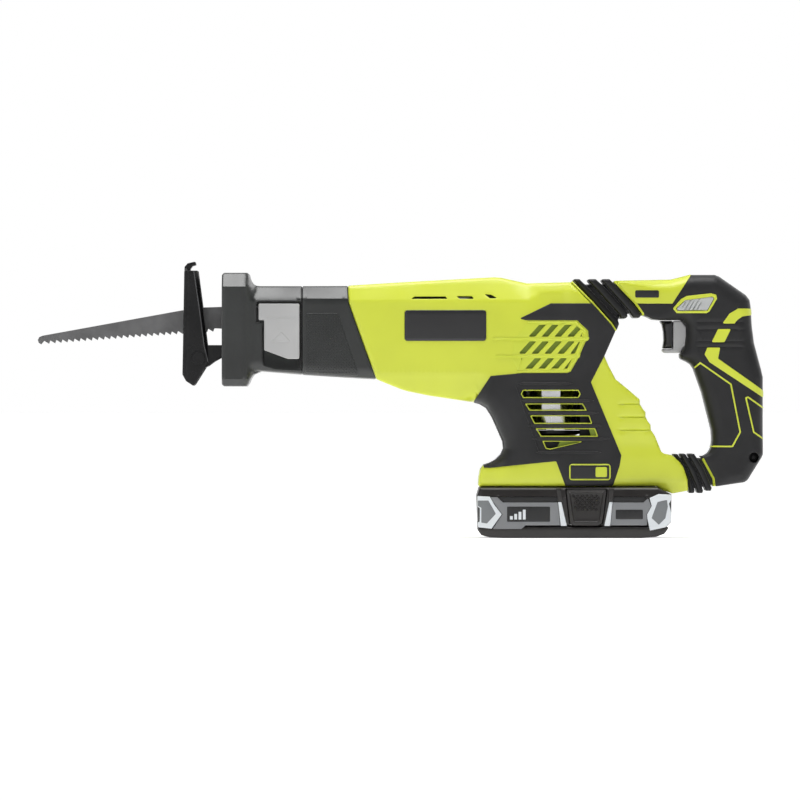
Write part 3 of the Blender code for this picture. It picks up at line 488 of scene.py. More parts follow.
def handle_rim(x, z):
    """The handle's edge radius: full on the grip, small where the arms meet the bellows."""
    upper = ramp(x - 0.9 * (181 - np.maximum(z, 150)), 152, 178)
    lower = ramp(x + 0.55 * (z - 37), 220, 236) * (0.6 + 0.4 * ramp(z, 58, 80))
    return 1.6 + 7.4 * np.where(z > 110, upper, lower)


def handle_profile(x, z, grooves=GRIP_GROOVES):
    """Half-width of the handle with its rounded rim and grip grooves."""
    depth = np.where(inside(np.stack([x, z], axis=1), HANDLE_LOOP), away_from(HANDLE_LOOP, x, z, True), 0)
    half = stations(x, HANDLE_TABLE) - quarter(depth, handle_rim(x, z))
    across = ramp(x, 206, 209) * (1 - ramp(x, 238, 242))
    for level in grooves:
        half = half - 0.55 * across * np.clip(1 - np.abs(z - level) / 0.8, 0, 1)
    return half


def on_flank(rise):
    return over(body_profile, rise)


def on_handle(rise):
    return over(handle_profile, rise)


def on_sleeve(rise):
    return over(sleeve_profile, rise)


def wrapped(profile, loop, reach):
    """A back at the seam where a piece reaches this loop's edge, and just under the skin elsewhere."""

    def back(x, z):
        edge = (away_from(loop, x, z, True) < reach) | ~inside(np.stack([x, z], axis=1), loop)
        return np.where(edge, SEAM, profile(x, z) - SKIN)

    return back


# Meshes


def add_loop(points, edges, loop):
    base = sum(len(some) for some in points)
    points.append(loop)
    edges += [(base + i, base + (i + 1) % len(loop)) for i in range(len(loop))]


def add_crease(points, edges, line, loop, holes):
    """The stretches of a line that lie inside the outline, as edges that the surface must follow."""
    base = sum(len(some) for some in points)
    run = resampled(np.array(line, float), LINE_STEP, closed=False)
    keep = inside(run, loop) & (distance_to(run, loop) > 0.25) & clear_of(run, holes, 0.25)
    index = base + np.cumsum(keep) - 1
    points.append(run[keep])
    edges += [(index[i], index[i + 1]) for i in range(len(run) - 1) if keep[i] and keep[i + 1]]


def rim_rows(loop, holes, radius, hole_rim):
    """Rows of points where the rounded rims of the outline and of its holes turn."""
    rows = []
    for source in [loop, *holes]:
        outer = source is loop
        local = radius(source[:, 0], source[:, 1]) if outer else np.full(len(source), hole_rim)
        towards = inward(source) * (1 if outer else -1)
        for angle in RIM_ANGLES:
            depth = local * (1 - math.cos(math.radians(angle)))
            row = source + towards * depth[:, None]
            keep = (distance_to(row, source) > depth * 0.97 - 1e-6) & (depth > 0.02) & inside(row, loop)
            keep &= clear_of(row, [hole for hole in holes if hole is not source], 0.2)
            if not outer:
                keep &= ~inside(row, source) & (distance_to(row, loop) > 0.2)
            rows.append(row[keep])
    return rows


def grid_points(loop, holes, radius, hole_rim, step):
    """A staggered grid inside the outline, clear of its rims."""
    low, high = loop.min(axis=0), loop.max(axis=0)
    xs = np.arange(low[0] + step / 2, high[0], step)
    zs = np.arange(low[1] + step / 2, high[1], step)
    grid = np.array([(x + (step / 2 if j % 2 else 0), z) for j, z in enumerate(zs) for x in xs])
    if not len(grid):
        return grid
    keep = inside(grid, loop) & (distance_to(grid, loop) > radius(grid[:, 0], grid[:, 1]) * 1.05 + 0.3)
    return grid[keep & clear_of(grid, holes, hole_rim + 0.3)]


def relief(
    outline, height, rim, back=SEAM, holes=(), creases=(), step=3.0, corner=1.0, hole_rim=0.3, hole_back=None
):
    """One side of a moulded piece: an outline filled with a dense surface that stands off the mid-plane by
    height(x, z), its edges rounded by rim, and a wall from each edge back to the given level."""
    radius = rim if callable(rim) else constant(rim)
    loop = resampled(rounded(outline, corner), EDGE_STEP)
    hole_loops = [resampled(rounded(hole, 0.5), EDGE_STEP) for hole in holes]
    points, edges = [], []
    for edge in [loop, *hole_loops]:
        add_loop(points, edges, edge)
    for line in creases:
        add_crease(points, edges, line, loop, hole_loops)
    points += rim_rows(loop, hole_loops, radius, hole_rim)
    points.append(grid_points(loop, hole_loops, radius, hole_rim, step))
    flat = np.concatenate([some for some in points if len(some)])
    made = delaunay_2d_cdt([Vector(p) for p in flat], edges, [], 1, 1e-4)
    verts, faces = np.array([tuple(v) for v in made[0]]), [list(f) for f in made[2]]
    centres = np.array([verts[f].mean(axis=0) for f in faces])
    wanted = inside(centres, loop)
    for hole in hole_loops:
        wanted &= ~inside(centres, hole)
    faces = [f for f, keep in zip(faces, wanted) if keep]
    x, z = verts[:, 0], verts[:, 1]
    level = height(x, z) - quarter(distance_to(verts, loop), radius(x, z))
    for hole in hole_loops:
        level = level - quarter(distance_to(verts, hole), hole_rim)
    return walled(verts, level, faces, back, hole_back, hole_loops)


def raised(outline, rise, rim, **options):
    """A relief standing this far off the flank, with its back just under the flank's skin."""
    return relief(outline, on_flank(rise), rim, on_flank(-SKIN), **options)


def walled(verts, level, faces, back, hole_back, hole_loops):
    """Adds the walls behind a surface's open edges, as (points, faces) with y outwards positive."""
    used = dict.fromkeys((a, b) for f in faces for a, b in zip(f, f[1:] + f[:1]))
    border = [(a, b) for a, b in used if (b, a) not in used]
    ends = sorted({end for edge in border for end in edge})
    rim = verts[ends]
    deep = back(rim[:, 0], rim[:, 1]) if callable(back) else np.full(len(ends), float(back))
    if hole_back is not None:
        for hole in hole_loops:
            value = hole_back(rim[:, 0], rim[:, 1]) if callable(hole_back) else hole_back
            deep = np.where(distance_to(rim, hole) < 0.02, value, deep)
    deep = np.minimum(deep, level[ends] - 0.02)
    points = [(x, y, z) for (x, z), y in zip(verts, level)]
    number = {}
    for row in (0.5, 1.0):
        for end, (x, z), y in zip(ends, rim, deep):
            number[(end, row)] = len(points)
            points.append((x, level[end] + (y - level[end]) * row, z))
    faces = list(faces)
    for a, b in border:
        faces.append([b, a, number[(a, 0.5)], number[(b, 0.5)]])
        faces.append([number[(b, 0.5)], number[(a, 0.5)], number[(a, 1.0)], number[(b, 1.0)]])
    return np.array(points), faces


def sided(surface, side):
    """The surface on one side of the mid-plane: -1 is the left, at -Y."""
    points, faces = surface
    points = points * np.array([1, side, 1])
    return points, ([f[::-1] for f in faces] if side > 0 else faces)


def joined(*surfaces):
    points, faces, base = [], [], 0
    for some, more in surfaces:
        points.append(some)
        faces += [[i + base for i in f] for f in more]
        base += len(some)
    return np.concatenate(points), faces


def both(surface):
    return joined(sided(surface, -1), sided(surface, 1))


def rim_lines(loop, radius):
    """Lines along the loop where its rounded rim turns, for pieces laid over that rim to follow."""
    source = resampled(loop, EDGE_STEP)
    local = radius(source[:, 0], source[:, 1])
    lines = []
    for angle in (0.0, *RIM_ANGLES):
        depth = local * (1 - math.cos(math.radians(angle)))
        row = source + inward(source) * depth[:, None]
        keep = distance_to(row, source) > depth * 0.97 - 1e-6
        run = []
        for point, good in zip(row, keep):
            if good:
                run.append(tuple(point))
                continue
            lines.append(run)
            run = []
        lines.append(run)
    return [line for line in lines if len(line) > 1]


def plate(outline, height, thick, rim, **options):
    """A pressed sheet of this thickness under the height, with both its faces."""
    under = over(height, -thick)
    points, faces = relief(outline, under, 0.0, under, **options)
    front = relief(outline, height, rim, under, hole_back=under, **options)
    return joined(front, (points, [f[::-1] for f in faces]))


def faced(surface):
    """A surface made over (y, z) turned to look along -X."""
    points, faces = surface
    return np.stack([-points[:, 1], -points[:, 0], points[:, 2]], axis=1), faces


def studs(low, high, pitch, size, rise, profile, boundary):
    """Small pyramids in staggered rows, standing on a profile inside a boundary."""
    points, faces = [], []
    loop = rounded(boundary, 0)
    row, z = 0, low[1]
    while z < high[1]:
        x = low[0] + (pitch / 2 if row % 2 else 0)
        while x < high[0]:
            centre = np.array([[x, z]])
            if inside(centre, loop)[0] and distance_to(centre, loop)[0] > size * 0.8:
                y = float(profile(centre[:, 0], centre[:, 1])[0])
                base = len(points)
                around = [(size, 0), (0, size), (-size, 0), (0, -size)]
                points += [(x + dx, y - 0.1, z + dz) for dx, dz in around]
                points += [(x + dx * 0.4, y + rise, z + dz * 0.4) for dx, dz in around]
                for i, n in ((0, 1), (1, 2), (2, 3), (3, 0)):
                    faces.append([base + i, base + n, base + 4 + n, base + 4 + i])
                faces.append([base + 4, base + 5, base + 6, base + 7])
            x += pitch
        z += pitch / 2
        row += 1
    return np.array(points), faces


def turned(profile, centre, axis, segments):
    """A (radius, height) profile spun about X or Y through the centre, in millimetres."""
    points, faces = [], []
    for k in range(segments):
        a = math.tau * k / segments
        for r, h in profile:
            spun = {"X": (h, r * math.cos(a), r * math.sin(a)), "Y": (r * math.sin(a), h, r * math.cos(a))}
            points.append(np.array(spun[axis]) + np.array(centre))
    rows = len(profile)
    for k in range(segments):
        n = (k + 1) % segments
        for i in range(rows - 1):
            faces.append([k * rows + i, n * rows + i, n * rows + i + 1, k * rows + i + 1])
    return np.array(points), faces


def piece(name, surface, look, body, replaces=(), sharp=32):
    """A finished object from (points, faces), riding on a CAD body and standing for its nodes."""
    points, faces = surface
    mesh = bpy.data.meshes.new(name)
    mesh.from_pydata([tuple(p) for p in (points + DATUM) * MM], [], faces)
    bm = bmesh.new()
    bm.from_mesh(mesh)
    bmesh.ops.remove_doubles(bm, verts=bm.verts, dist=1e-6)
    bm.to_mesh(mesh)
    bm.free()
    mesh.materials.append(LOOKS[look])
    mesh.shade_smooth()
    mesh.set_sharp_from_angle(angle=math.radians(sharp))
    obj = bpy.data.objects.new(name, mesh)
    bpy.context.scene.collection.objects.link(obj)
    if body:
        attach(obj, body)
    if replaces:
        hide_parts(*replaces)
    return obj


def pair(name, surface, look, body, replaces=(), sharp=32):
    """The same piece on each side of the tool. {} in the body's name stands for the side."""
    for side, label in ((-1, "left"), (1, "right")):
        nodes = [f"{node}_{label}" for node in replaces]
        piece(f"{name}_{label}", sided(surface, side), look, body.format(label), nodes, sharp)


# Materials


class Look:
    """Builds one procedural material, node by node. A tint and a gloss are (scale, detail, low, high)."""

    def __init__(self, name, colour, roughness, tint, gloss=None, metallic=0.0):
        self.material = bpy.data.materials.new(name)
        self.material.use_nodes = True
        self.tree = self.material.node_tree
        self.shader = self.tree.nodes["Principled BSDF"]
        self.coords = self.tree.nodes.new("ShaderNodeTexCoord").outputs["Object"]
        self.bumped = None
        self.set(Base_Color=(*colour, 1), Roughness=roughness, Metallic=metallic)
        self.colours(self.noise(*tint[:2]), [tuple(min(c * t, 1.0) for c in colour) for t in tint[2:]])
        if gloss:
            self.rough(self.noise(*gloss[:2]), roughness + gloss[2], roughness + gloss[3])

    def set(self, **values):
        for socket, value in values.items():
            self.shader.inputs[socket.replace("_", " ")].default_value = value

    def node(self, kind, source, socket, **values):
        """A new node fed by the source, with these values on its sockets."""
        node = self.tree.nodes.new("ShaderNode" + kind)
        for name, value in values.items():
            node.inputs[name.replace("_", " ")].default_value = value
        self.tree.links.new(source, node.inputs[socket])
        return node

    def noise(self, scale, detail, stretch=None):
        source = self.coords
        if stretch:
            source = self.node("Mapping", source, "Vector", Scale=stretch).outputs["Vector"]
        return self.node("TexNoise", source, "Vector", Scale=scale, Detail=detail).outputs["Fac"]

    def cells(self, scale):
        return self.node("TexVoronoi", self.coords, "Vector", Scale=scale).outputs["Distance"]

    def colours(self, value, ends):
        node = self.node("ValToRGB", value, "Fac")
        for element, place, colour in zip(node.color_ramp.elements, (0.35, 0.65), ends):
            element.position = place
            element.color = (*colour, 1)
        self.tree.links.new(node.outputs["Color"], self.shader.inputs["Base Color"])

    def rough(self, value, low, high):
        node = self.node("MapRange", value, "Value", From_Min=0.3, From_Max=0.7, To_Min=low, To_Max=high)
        self.tree.links.new(node.outputs["Result"], self.shader.inputs["Roughness"])

    def bump(self, value, strength, depth):
        node = self.node("Bump", value, "Height", Strength=strength, Distance=depth)
        if self.bumped:
            self.tree.links.new(self.bumped, node.inputs["Normal"])
        self.bumped = node.outputs["Normal"]
        self.tree.links.new(self.bumped, self.shader.inputs["Normal"])


def moulded(name, colour, roughness, grain=2600, depth=0.00004, spread=0.05):
    """Injection-moulded plastic: spark-eroded grain, faint flow marks and uneven gloss."""
    look = Look(name, colour, roughness, (26, 2, 1 - spread, 1 + spread), (60, 3, -0.06, 0.06))
    look.bump(look.noise(grain, 2), 0.25, depth)
    return look.material


def soft_grip(name, colour, roughness=0.55, specular=0.34):
    """Soft thermoplastic rubber: pebbled skin with dull and rubbed patches."""
    look = Look(name, colour, roughness, (45, 4, 0.82, 1.2), (30, 3, -0.08, 0.08))
    look.bump(look.cells(1500), 0.35, 0.00006)
    look.bump(look.noise(4000, 2), 0.2, 0.00003)
    look.set(Specular_IOR_Level=specular, Sheen_Weight=0.3, Sheen_Roughness=0.3)
    return look.material


def machined(name, colour, roughness, stretch=(1, 1, 1), scale=900, metallic=1.0):
    """Ground or drawn metal: fine lines along the grain and light staining."""
    look = Look(name, colour, roughness, (70, 4, 0.85, 1.12), metallic=metallic)
    lines = look.noise(scale, 2, stretch)
    look.rough(lines, roughness - 0.08, roughness + 0.1)
    look.bump(lines, 0.2, 0.00004)
    return look.material


def plated(name, colour, roughness):
    look = Look(name, colour, roughness, (60, 3, 0.9, 1.08), (120, 2, -0.04, 0.05), 1.0)
    look.bump(look.noise(400, 2), 0.04, 0.00002)
    return look.material


def lacquered(name, colour, roughness):
    """Glossy stoved coating over pressed steel, with slight orange peel and rubbed patches."""
    look = Look(name, colour, roughness, (55, 4, 0.8, 1.3), (35, 4, -0.05, 0.12))
    look.bump(look.noise(700, 2), 0.1, 0.00003)
    look.set(Specular_IOR_Level=0.3)
    return look.material


def cast(name, colour, roughness):
    look = Look(name, colour, roughness, (90, 5, 0.8, 1.1), (200, 2, -0.08, 0.08), 1.0)
    look.bump(look.noise(1200, 3), 0.4, 0.00012)
    return look.material


def glossy_print(name, colour, roughness):
    look = Look(name, colour, roughness, (40, 2, 0.9, 1.12))
    look.bump(look.noise(500, 2), 0.12, 0.00003)
    look.set(Coat_Weight=0.5, Coat_Roughness=0.25)
    return look.material


LOOKS = {
    "green": moulded("green_shell", (0.55, 0.61, 0.042), 0.34, spread=0.03),
    "green_deep": moulded("green_trim", (0.53, 0.6, 0.04), 0.38, spread=0.03),
    # A darker copy of the shell green: painted shade behind the vent slots.
    "green_shadow": moulded("green_louvre_floor_painted_shade", (0.2, 0.27, 0.02), 0.5),
    "rubber": soft_grip("black_overmould_skin", (0.013, 0.013, 0.014)),
    "handle": soft_grip("handle_skin", (0.011, 0.011, 0.012), 0.5),
    "bellows": soft_grip("bellows_skin", (0.008, 0.008, 0.009), 0.42),
    "boot": soft_grip("boot_skin", (0.009, 0.0105, 0.01), 0.36, 0.66),
    # A darker copy of the boot rubber: painted shade for the groove behind the nose and the inside of its
    # mouth.
    "boot_painted_shade": soft_grip("boot_recess_painted_shade", (0.004, 0.004, 0.004), 0.6),
    "lever": moulded("grey_lever_plastic", (0.4, 0.4, 0.4), 0.36),
    "trigger": moulded("grey_trigger_plastic", (0.36, 0.36, 0.365), 0.34),
    "button": moulded("grey_button_plastic", (0.42, 0.43, 0.43), 0.36),
    "black": moulded("black_plastic_satin", (0.009, 0.009, 0.01), 0.38),
    "plate": glossy_print("nameplate_black", (0.006, 0.006, 0.007), 0.25),
    "pack": moulded("battery_shell_plastic", (0.013, 0.011, 0.0105), 0.36, 1800, 0.00006),
    "panel": moulded("battery_grey_plastic", (0.19, 0.195, 0.205), 0.4),
    "white": moulded("battery_white_trim", (0.66, 0.69, 0.72), 0.35, spread=0.02),
    "inlay": moulded("battery_grey_inlay", (0.16, 0.17, 0.18), 0.42),
    "blade": machined("blade_steel_dark", (0.13, 0.13, 0.132), 0.4, (1, 1, 14), 700, 0.6),
    "steel": machined("ground_steel_bright", (0.5, 0.5, 0.51), 0.3),
    "bronze": machined("oiled_bronze", (0.48, 0.3, 0.13), 0.4),
    "black_steel": lacquered("black_coated_pressing", (0.006, 0.006, 0.0065), 0.26),
    # A lighter black coating: a painted highlight for the shoe's ridge line.
    "painted_highlight_edge": lacquered("black_coating_painted_highlight", (0.075, 0.075, 0.078), 0.3),
    "aluminium": cast("cast_aluminium_skin", (0.5, 0.5, 0.51), 0.45),
    "can": plated("motor_can_plated", (0.8, 0.8, 0.81), 0.12),
    "copper": machined("copper_winding", (0.62, 0.28, 0.13), 0.35, (1, 1, 1), 400),
    "cell": glossy_print("cell_sleeve", (0.04, 0.1, 0.28), 0.3),
}


# Pieces


def build_boot():
    def mouth(x, z):
        """The boot's back: the mid-plane, but open in front for the plunger and for the shoe's bracket."""
        round_mouth = np.sqrt(np.maximum(MOUTH_R**2 - (z - STROKE_Z) ** 2, 0))
        channel = np.where((z > 119) & (z < 137), 14.0, 0.0)
        return np.where(x < -125, np.maximum(round_mouth, channel), 0.0)

    shape = {"back": mouth, "creases": [[(-125, z), (-104, z)] for z in (177.3, 112.5)], "step": 2.2}
    plain = relief(BOOT, nose_profile, 1.2, **shape)
    pocketed = relief(BOOT, nose_profile, 1.2, holes=[LEVER_POCKET], hole_rim=0.8, hole_back=24.2, **shape)
    boot = joined(sided(pocketed, -1), sided(plain, 1))
    piece("boot_skin", boot, "boot", "tool_body", ["nose_boot"])

    def pocket_floor(x, z):
        return 24.3 + np.clip((133 - z) / 14, 0, 1) ** 1.5 * 4.0

    floor = relief(inset(LEVER_POCKET, -0.3), pocket_floor, 0.2, 23.0, step=2)
    piece("lever_pocket", sided(floor, -1), "boot", "tool_body")
    # The inside of the mouth, in the darker rubber: painted shade.
    liner, faces = turned([(MOUTH_R, -125), (17.9, -99), (9.9, -98.6)], (0, 0, STROKE_Z), "X", 64)
    piece("nose_mouth_painted_shade", (liner, [f[::-1] for f in faces]), "boot_painted_shade", "tool_body")


def build_lever():
    def lever_height(x, z):
        return 30.5 - 0.5 * ramp(z, 150, 166) + 0.5 * (1 - ramp(z, 127, 136))

    line = stroke([(-94, 155.4), (-74, 155.4)], 0.8)
    lever = joined(
        relief(LEVER, lever_height, 0.8, 25.2, corner=1.2, step=2),
        relief(LEVER_MARK, over(lever_height, 0.3), 0.25, 29.8, corner=0.6, step=2),
        relief(line, over(lever_height, 0.25), 0.2, 29.6, corner=0.3, step=2),
    )
    piece("lever_cover", sided(lever, -1), "lever", "blade_lever", ["blade_lever"])


def build_sleeve():
    """The neck behind the boot, the groove between them backed by a darker strip as painted shade, and the
    sleeve's studded grip.
    """
    # A dark strip under the gap between boot and sleeve: painted shade.
    seam = relief(box(-72, 117.6, -66, 176.2), on_sleeve(-1.3), 0.5, 0.0)
    piece("nose_seam_painted_shade", both(seam), "boot_painted_shade", "tool_body")
    sleeve = relief(SLEEVE, sleeve_profile, 0.9, 0.0, step=2.4)
    piece("sleeve_skin", both(sleeve), "boot", "tool_body", ["gearcase_sleeve"])
    panel = relief(SLEEVE_PANEL, on_sleeve(0.35), 0.35, on_sleeve(-0.5), step=2.4, corner=2.0)
    piece("sleeve_grip_panel", both(panel), "boot", "tool_body")
    dots = studs((-66, 117), (-28, 158), 2.3, 0.72, 0.26, on_sleeve(0.35), SLEEVE_PANEL)
    piece("sleeve_grip_dots", both(dots), "boot", "tool_body", sharp=20)


def build_shoe():
    def cheek(x, z):
        front = stations(z, ((107, -153.4), (116, -153.3), (130, -153), (188.7, -152)))
        return 15.7 - quarter(x - front, 3.4) - 1.1 * np.maximum(x - stations(z, SHOE_RIDGE), 0)

    def front_face(_, z):
        return stations(z, ((107, 153.2), (116, 153.1), (130, 152.8), (188.7, 151.8), (191, 151.9)))

    ridge = [(x, z) for z, x in SHOE_RIDGE[1:-1]]
    front_crease = [(-149.9, 112), (-149.6, 130), (-148.6, 188)]
    side = plate(SHOE_SIDE, cheek, 2.0, 0.5, creases=[ridge, front_crease], step=2.2, corner=0.8)
    front = faced(plate(SHOE_FRONT, front_face, 1.9, 0.4, holes=[BLADE_SLOT], step=2.5))
    hook = both(relief(SHOE_HOOK, constant(9.0), 0.5, 0.0, step=1.5, corner=0.6))
    shoe = joined(both(side), front, hook)
    piece("shoe_pressing", shoe, "black_steel", "shoe", ["shoe"])
    # A raised bead along the ridge, coloured lighter as a painted highlight on the ridge line.
    line = stroke([(x - 0.5, z) for x, z in ridge], 0.8)
    bead = relief(line, over(cheek, 0.2), 0.35, over(cheek, -0.5), step=2)
    piece("shoe_ridge_highlight_bead", both(bead), "painted_highlight_edge", "shoe")
    rim = [(0.01, -15.75), (3.1, -15.75), (3.4, -16.1), (4.2, -16.1), (4.4, -15.7), (4.4, -15.0)]
    piece("shoe_pivot_disc", turned(rim, SHOE_PIVOT, "Y", 40), "black_steel", "shoe")


def grille_slots():
    """The slots of one vent grille: three rows leaning back, cut off by the grille's slanted end."""
    slots = []
    for low, high, first, count in ((142.2, 151.6, 89, 4), (130.3, 139.0, 82, 4), (118.9, 127.2, 86, 3)):
        run = (high - low) * 0.9
        for x in range(first, first + 9 * count, 9):
            slots.append([(x, low), (x + 4.6, low), (x + 4.6 + run, high), (x + run, high)])
    slots += [
        [(125, 142.2), (127.8, 142.2), (128, 145.2), (127.4, 145.8)],
        [(118.2, 130.3), (121.6, 130.3), (124.8, 138.4), (124.4, 139)],
        [(113, 118.9), (116.2, 118.9), (120.6, 127.2), (119.8, 127.2)],
        [(82.6, 118.9), (83.4, 118.9), (84.6, 127.2), (84, 127.2)],
    ]
    return slots


def build_shell():
    """The green shell, and the black overmould that shares its edge and its rounded throat."""
    creases = [
        [(-37, 167.5), (88, 167.5), (94, 170.5), (100, 173.5), (122, 173.5)],
        [(-19, 117), (62, 117)],
        [(52, 117), (52, 96)],
        [(62, 117), (62, 90)],
        [(155, 40), (201, 40)],
    ]
    creases += [[(148, z + d), (190, z + d)] for z in RIB_LINES for d in (-0.9, 0, 0.9)]
    turns = [THROAT_R * (1 - math.cos(math.radians(a))) for a in range(15, 91, 15)]
    throat = [offset_line(FRONT_THROAT, turn) for turn in turns]
    window = [(86, 120), (116, 120), (125, 138), (127, 146), (122, 150.5), (90, 150.5), (82, 134)]
    vents = [(82.4, 106), (127.6, 106), (139.4, 71.6), (127, 62), (98, 62), (94, 72)]

    def shell_height(x, z):
        """Sunk where the overmould lies over the throat, most at its edge."""
        away = away_from(FRONT_THROAT, x, z)
        return body_profile(x, z) - (0.7 + 1.4 * (1 - ramp(away, 2, 9))) * (away < 16) * (z > 53) * (x > 53)

    skin = relief(
        HOUSING, shell_height, 2.2, holes=[window, vents, *TOP_SLOTS], creases=creases + throat, step=3.2,
        corner=1.2, hole_back=on_flank(-2.5),
    )
    pair("shell", skin, "green", "tool_body", ["housing"])
    overmould = relief(
        OVERMOULD, on_flank(0.75), 0.8, wrapped(body_profile, rounded(HOUSING, 1.2), 0.7), creases=throat,
        holes=[inset(slot, -0.8) for slot in LOWER_SLOTS], corner=1.2, hole_back=on_flank(-2.2),
    )
    pair("overmould", overmould, "rubber", "tool_body", ["body_grip", "motor_guard"])


def build_grille():
    """The vent grille with its raised bars, and a darker green behind its slots as painted shade."""

    def grille_height(x, z):
        return body_profile(x, z) + 0.05 + 0.3 * ramp(x, 80, 92)

    grille = relief(
        inset(GRILLE, 0.25), grille_height, 0.1, on_flank(-SKIN), holes=grille_slots(), step=2, hole_rim=0.35,
        hole_back=on_flank(-2.6),
    )
    pair("grille", grille, "green_deep", "tool_body", ["vent_grille"])
    bars = [stroke(VENT_RIM, 1.3)] + [stroke(bar, 1.5) for bar in VENT_BARS]
    knobs = [circle(x, z, 1.5, 12) for x, z in ((130.4, 140.6), (124.6, 128.5))]
    trim = [raised(bar, 0.8, 0.45, corner=0.4) for bar in bars]
    trim += [raised(knob, 1.3, 0.7, step=1.5, corner=0) for knob in knobs]
    pair("grille_bars", joined(*trim), "green_deep", "tool_body")
    slot_ends = (
        [(130.8, 79), (138.4, 79), (138.4, 71.6), (133, 71.6)],
        [(112, 70.4), (130, 70.4), (108, 62.6), (109.5, 66)],
    )
    # Darker green sheets behind the slots and at the slots' ends: painted shade.
    floors = [relief(inset(GRILLE, 0.8), on_flank(-2.7), 0.2, on_flank(-3.4), step=4)]
    floors += [relief(end, on_flank(-1.9), 0.2, on_flank(-3), step=4, corner=0.3) for end in slot_ends]
    pair("louvre_floor", joined(*floors), "green_shadow", "tool_body")


def build_lower_vents():
    """The lower slots' green rims, the ridges between them, and black sheets behind all the vents as painted
    shade.
    """
    rim = {"corner": 0.6, "hole_rim": 0.15, "hole_back": on_flank(-2.4)}
    rims = [raised(inset(slot, -0.6), 1.0, 0.2, holes=[slot], **rim) for slot in LOWER_SLOTS]
    pair("slot_rims", joined(*rims), "green_deep", "tool_body")
    ridges = []
    for k, z in enumerate((109.6, 97.6, 89.0, 79.9, 71.0, 61.6)):
        a, b = 81 + 2.4 * k, 130.4 + 0.417 * (110.4 - z) - (10 if k in (0, 5) else 0)
        lens = [(a, z), (a + 5, z - 1.1), (b - 7, z - 1.1), (b, z), (b - 7, z + 0.9), (a + 5, z + 0.9)]
        ridges.append(raised(lens, 1.7, 0.9, corner=0.3))
    ridges.append(raised(stroke(GUARD_PANEL, 1.2), 1.15, 0.5, corner=0.3))
    pair("guard_ridges", joined(*ridges), "rubber", "tool_body")
    # Black sheets inside the housing, behind the can and the slots: painted shade.
    can_hole = box(84.6, 55, 125.4, 114)
    behind_can = [(72, 116), (146, 116), (150, 56), (74, 56)]
    below_can = [(92, 72), (134, 72), (130, 58), (96, 58)]
    baffles = [relief(behind_can, constant(9.5), 0.2, 8.0, holes=[can_hole], step=6, hole_back=8.0)]
    baffles.append(relief(below_can, constant(23.6), 0.2, 22.4, step=6))
    baffles += [relief(inset(slot, -1.2), on_flank(-3.0), 0.2, on_flank(-4.5), step=4) for slot in TOP_SLOTS]
    pair("painted_shade_baffle", joined(*baffles), "black", "tool_body")


def build_body_badges():
    """The blank nameplate and badge, each in a green border."""
    name_plate = raised(NAMEPLATE, 0.6, 0.4, step=4, corner=2.2)
    pair("plate", name_plate, "plate", "tool_body", ["nameplate"])
    around = inset(NAMEPLATE, -0.7)
    border = raised(around, 0.25, 0.25, holes=[NAMEPLATE], step=4, corner=2.6)
    pair("plate_border", border, "green_deep", "tool_body")
    badge = raised(BADGE, 1.3, 0.4, corner=2.0)
    pair("badge", badge, "black", "tool_body")
    badge_rim = joined(
        raised(inset(BADGE, -1.0), 1.15, 0.3, holes=[BADGE], corner=2.6),
        raised(BADGE_BLOCK, 1.5, 0.2, corner=1.2),
    )
    pair("badge_rim", badge_rim, "green_deep", "tool_body")


def build_handle():
    """The handle's soft skin, and the green lines and rings let into it."""
    button_gap = inset(LOCK_BUTTON, -0.35)

    def base(x, z):
        return handle_profile(x, z) + quarter(away_from(HANDLE_LOOP, x, z, True), handle_rim(x, z))

    creases = [[(204, z + d), (244, z + d)] for z in GRIP_GROOVES for d in (-0.8, 0, 0.8)]
    skin = relief(
        HANDLE, base, handle_rim, holes=[circle(*SCREW, 3.6, 20), button_gap], creases=creases, step=2.6,
        corner=2.5, hole_rim=0.5, hole_back=7.4,
    )
    pair("handle_skin", skin, "handle", "handle", ["handle"], 40)

    def lifted(x, z):
        return handle_profile(x, z, ()) + 0.25

    wrap = wrapped(handle_profile, HANDLE_LOOP, 0.45)
    follow = rim_lines(HANDLE_LOOP, handle_rim)
    shapes = (UPPER_STRIPE, PARALLELOGRAM, LOWER_STRIPE, stroke(FINE_LINE, 1.1), stroke(REAR_LINE, 1.1))
    accents = [relief(shape, lifted, 0.2, wrap, creases=follow, step=2.0, corner=0.8) for shape in shapes]
    accents.append(relief(HANDLE_PANEL, on_handle(0.35), 0.2, wrap, creases=follow, step=2.5, corner=0.4))
    front_ring = stroke([(149.6, 180.9), (163.9, 166), (169.3, 158.4), (169.5, 157.2)], 1.5)
    low_ring = stroke([(211.3, 57), (218.8, 43), (219.4, 37.6)], 1.5)
    accents += [relief(ring, on_handle(0.7), 0.3, corner=0.3) for ring in (front_ring, low_ring)]
    lock_ring = {"holes": [button_gap], "step": 2, "hole_back": on_handle(-3)}
    accents.append(relief(LOCK_RING, on_handle(0.55), 0.35, on_handle(-SKIN), **lock_ring))
    pair("handle_accents", joined(*accents), "green", "handle")
    badge = relief(box(163.8, 169.6, 180.6, 174.8), on_handle(0.55), 0.25, on_handle(-0.5), corner=1.2)
    pair("handle_badge", badge, "black", "handle")
    head = [(0.01, -8.0), (1.1, -8.0), (1.3, -8.9), (3.0, -8.6), (3.2, -7.6), (3.6, -7.4)]
    screw = turned(head, (SCREW[0], 0, SCREW[1]), "Y", 24)
    piece("handle_screw", screw, "black_steel", "handle")


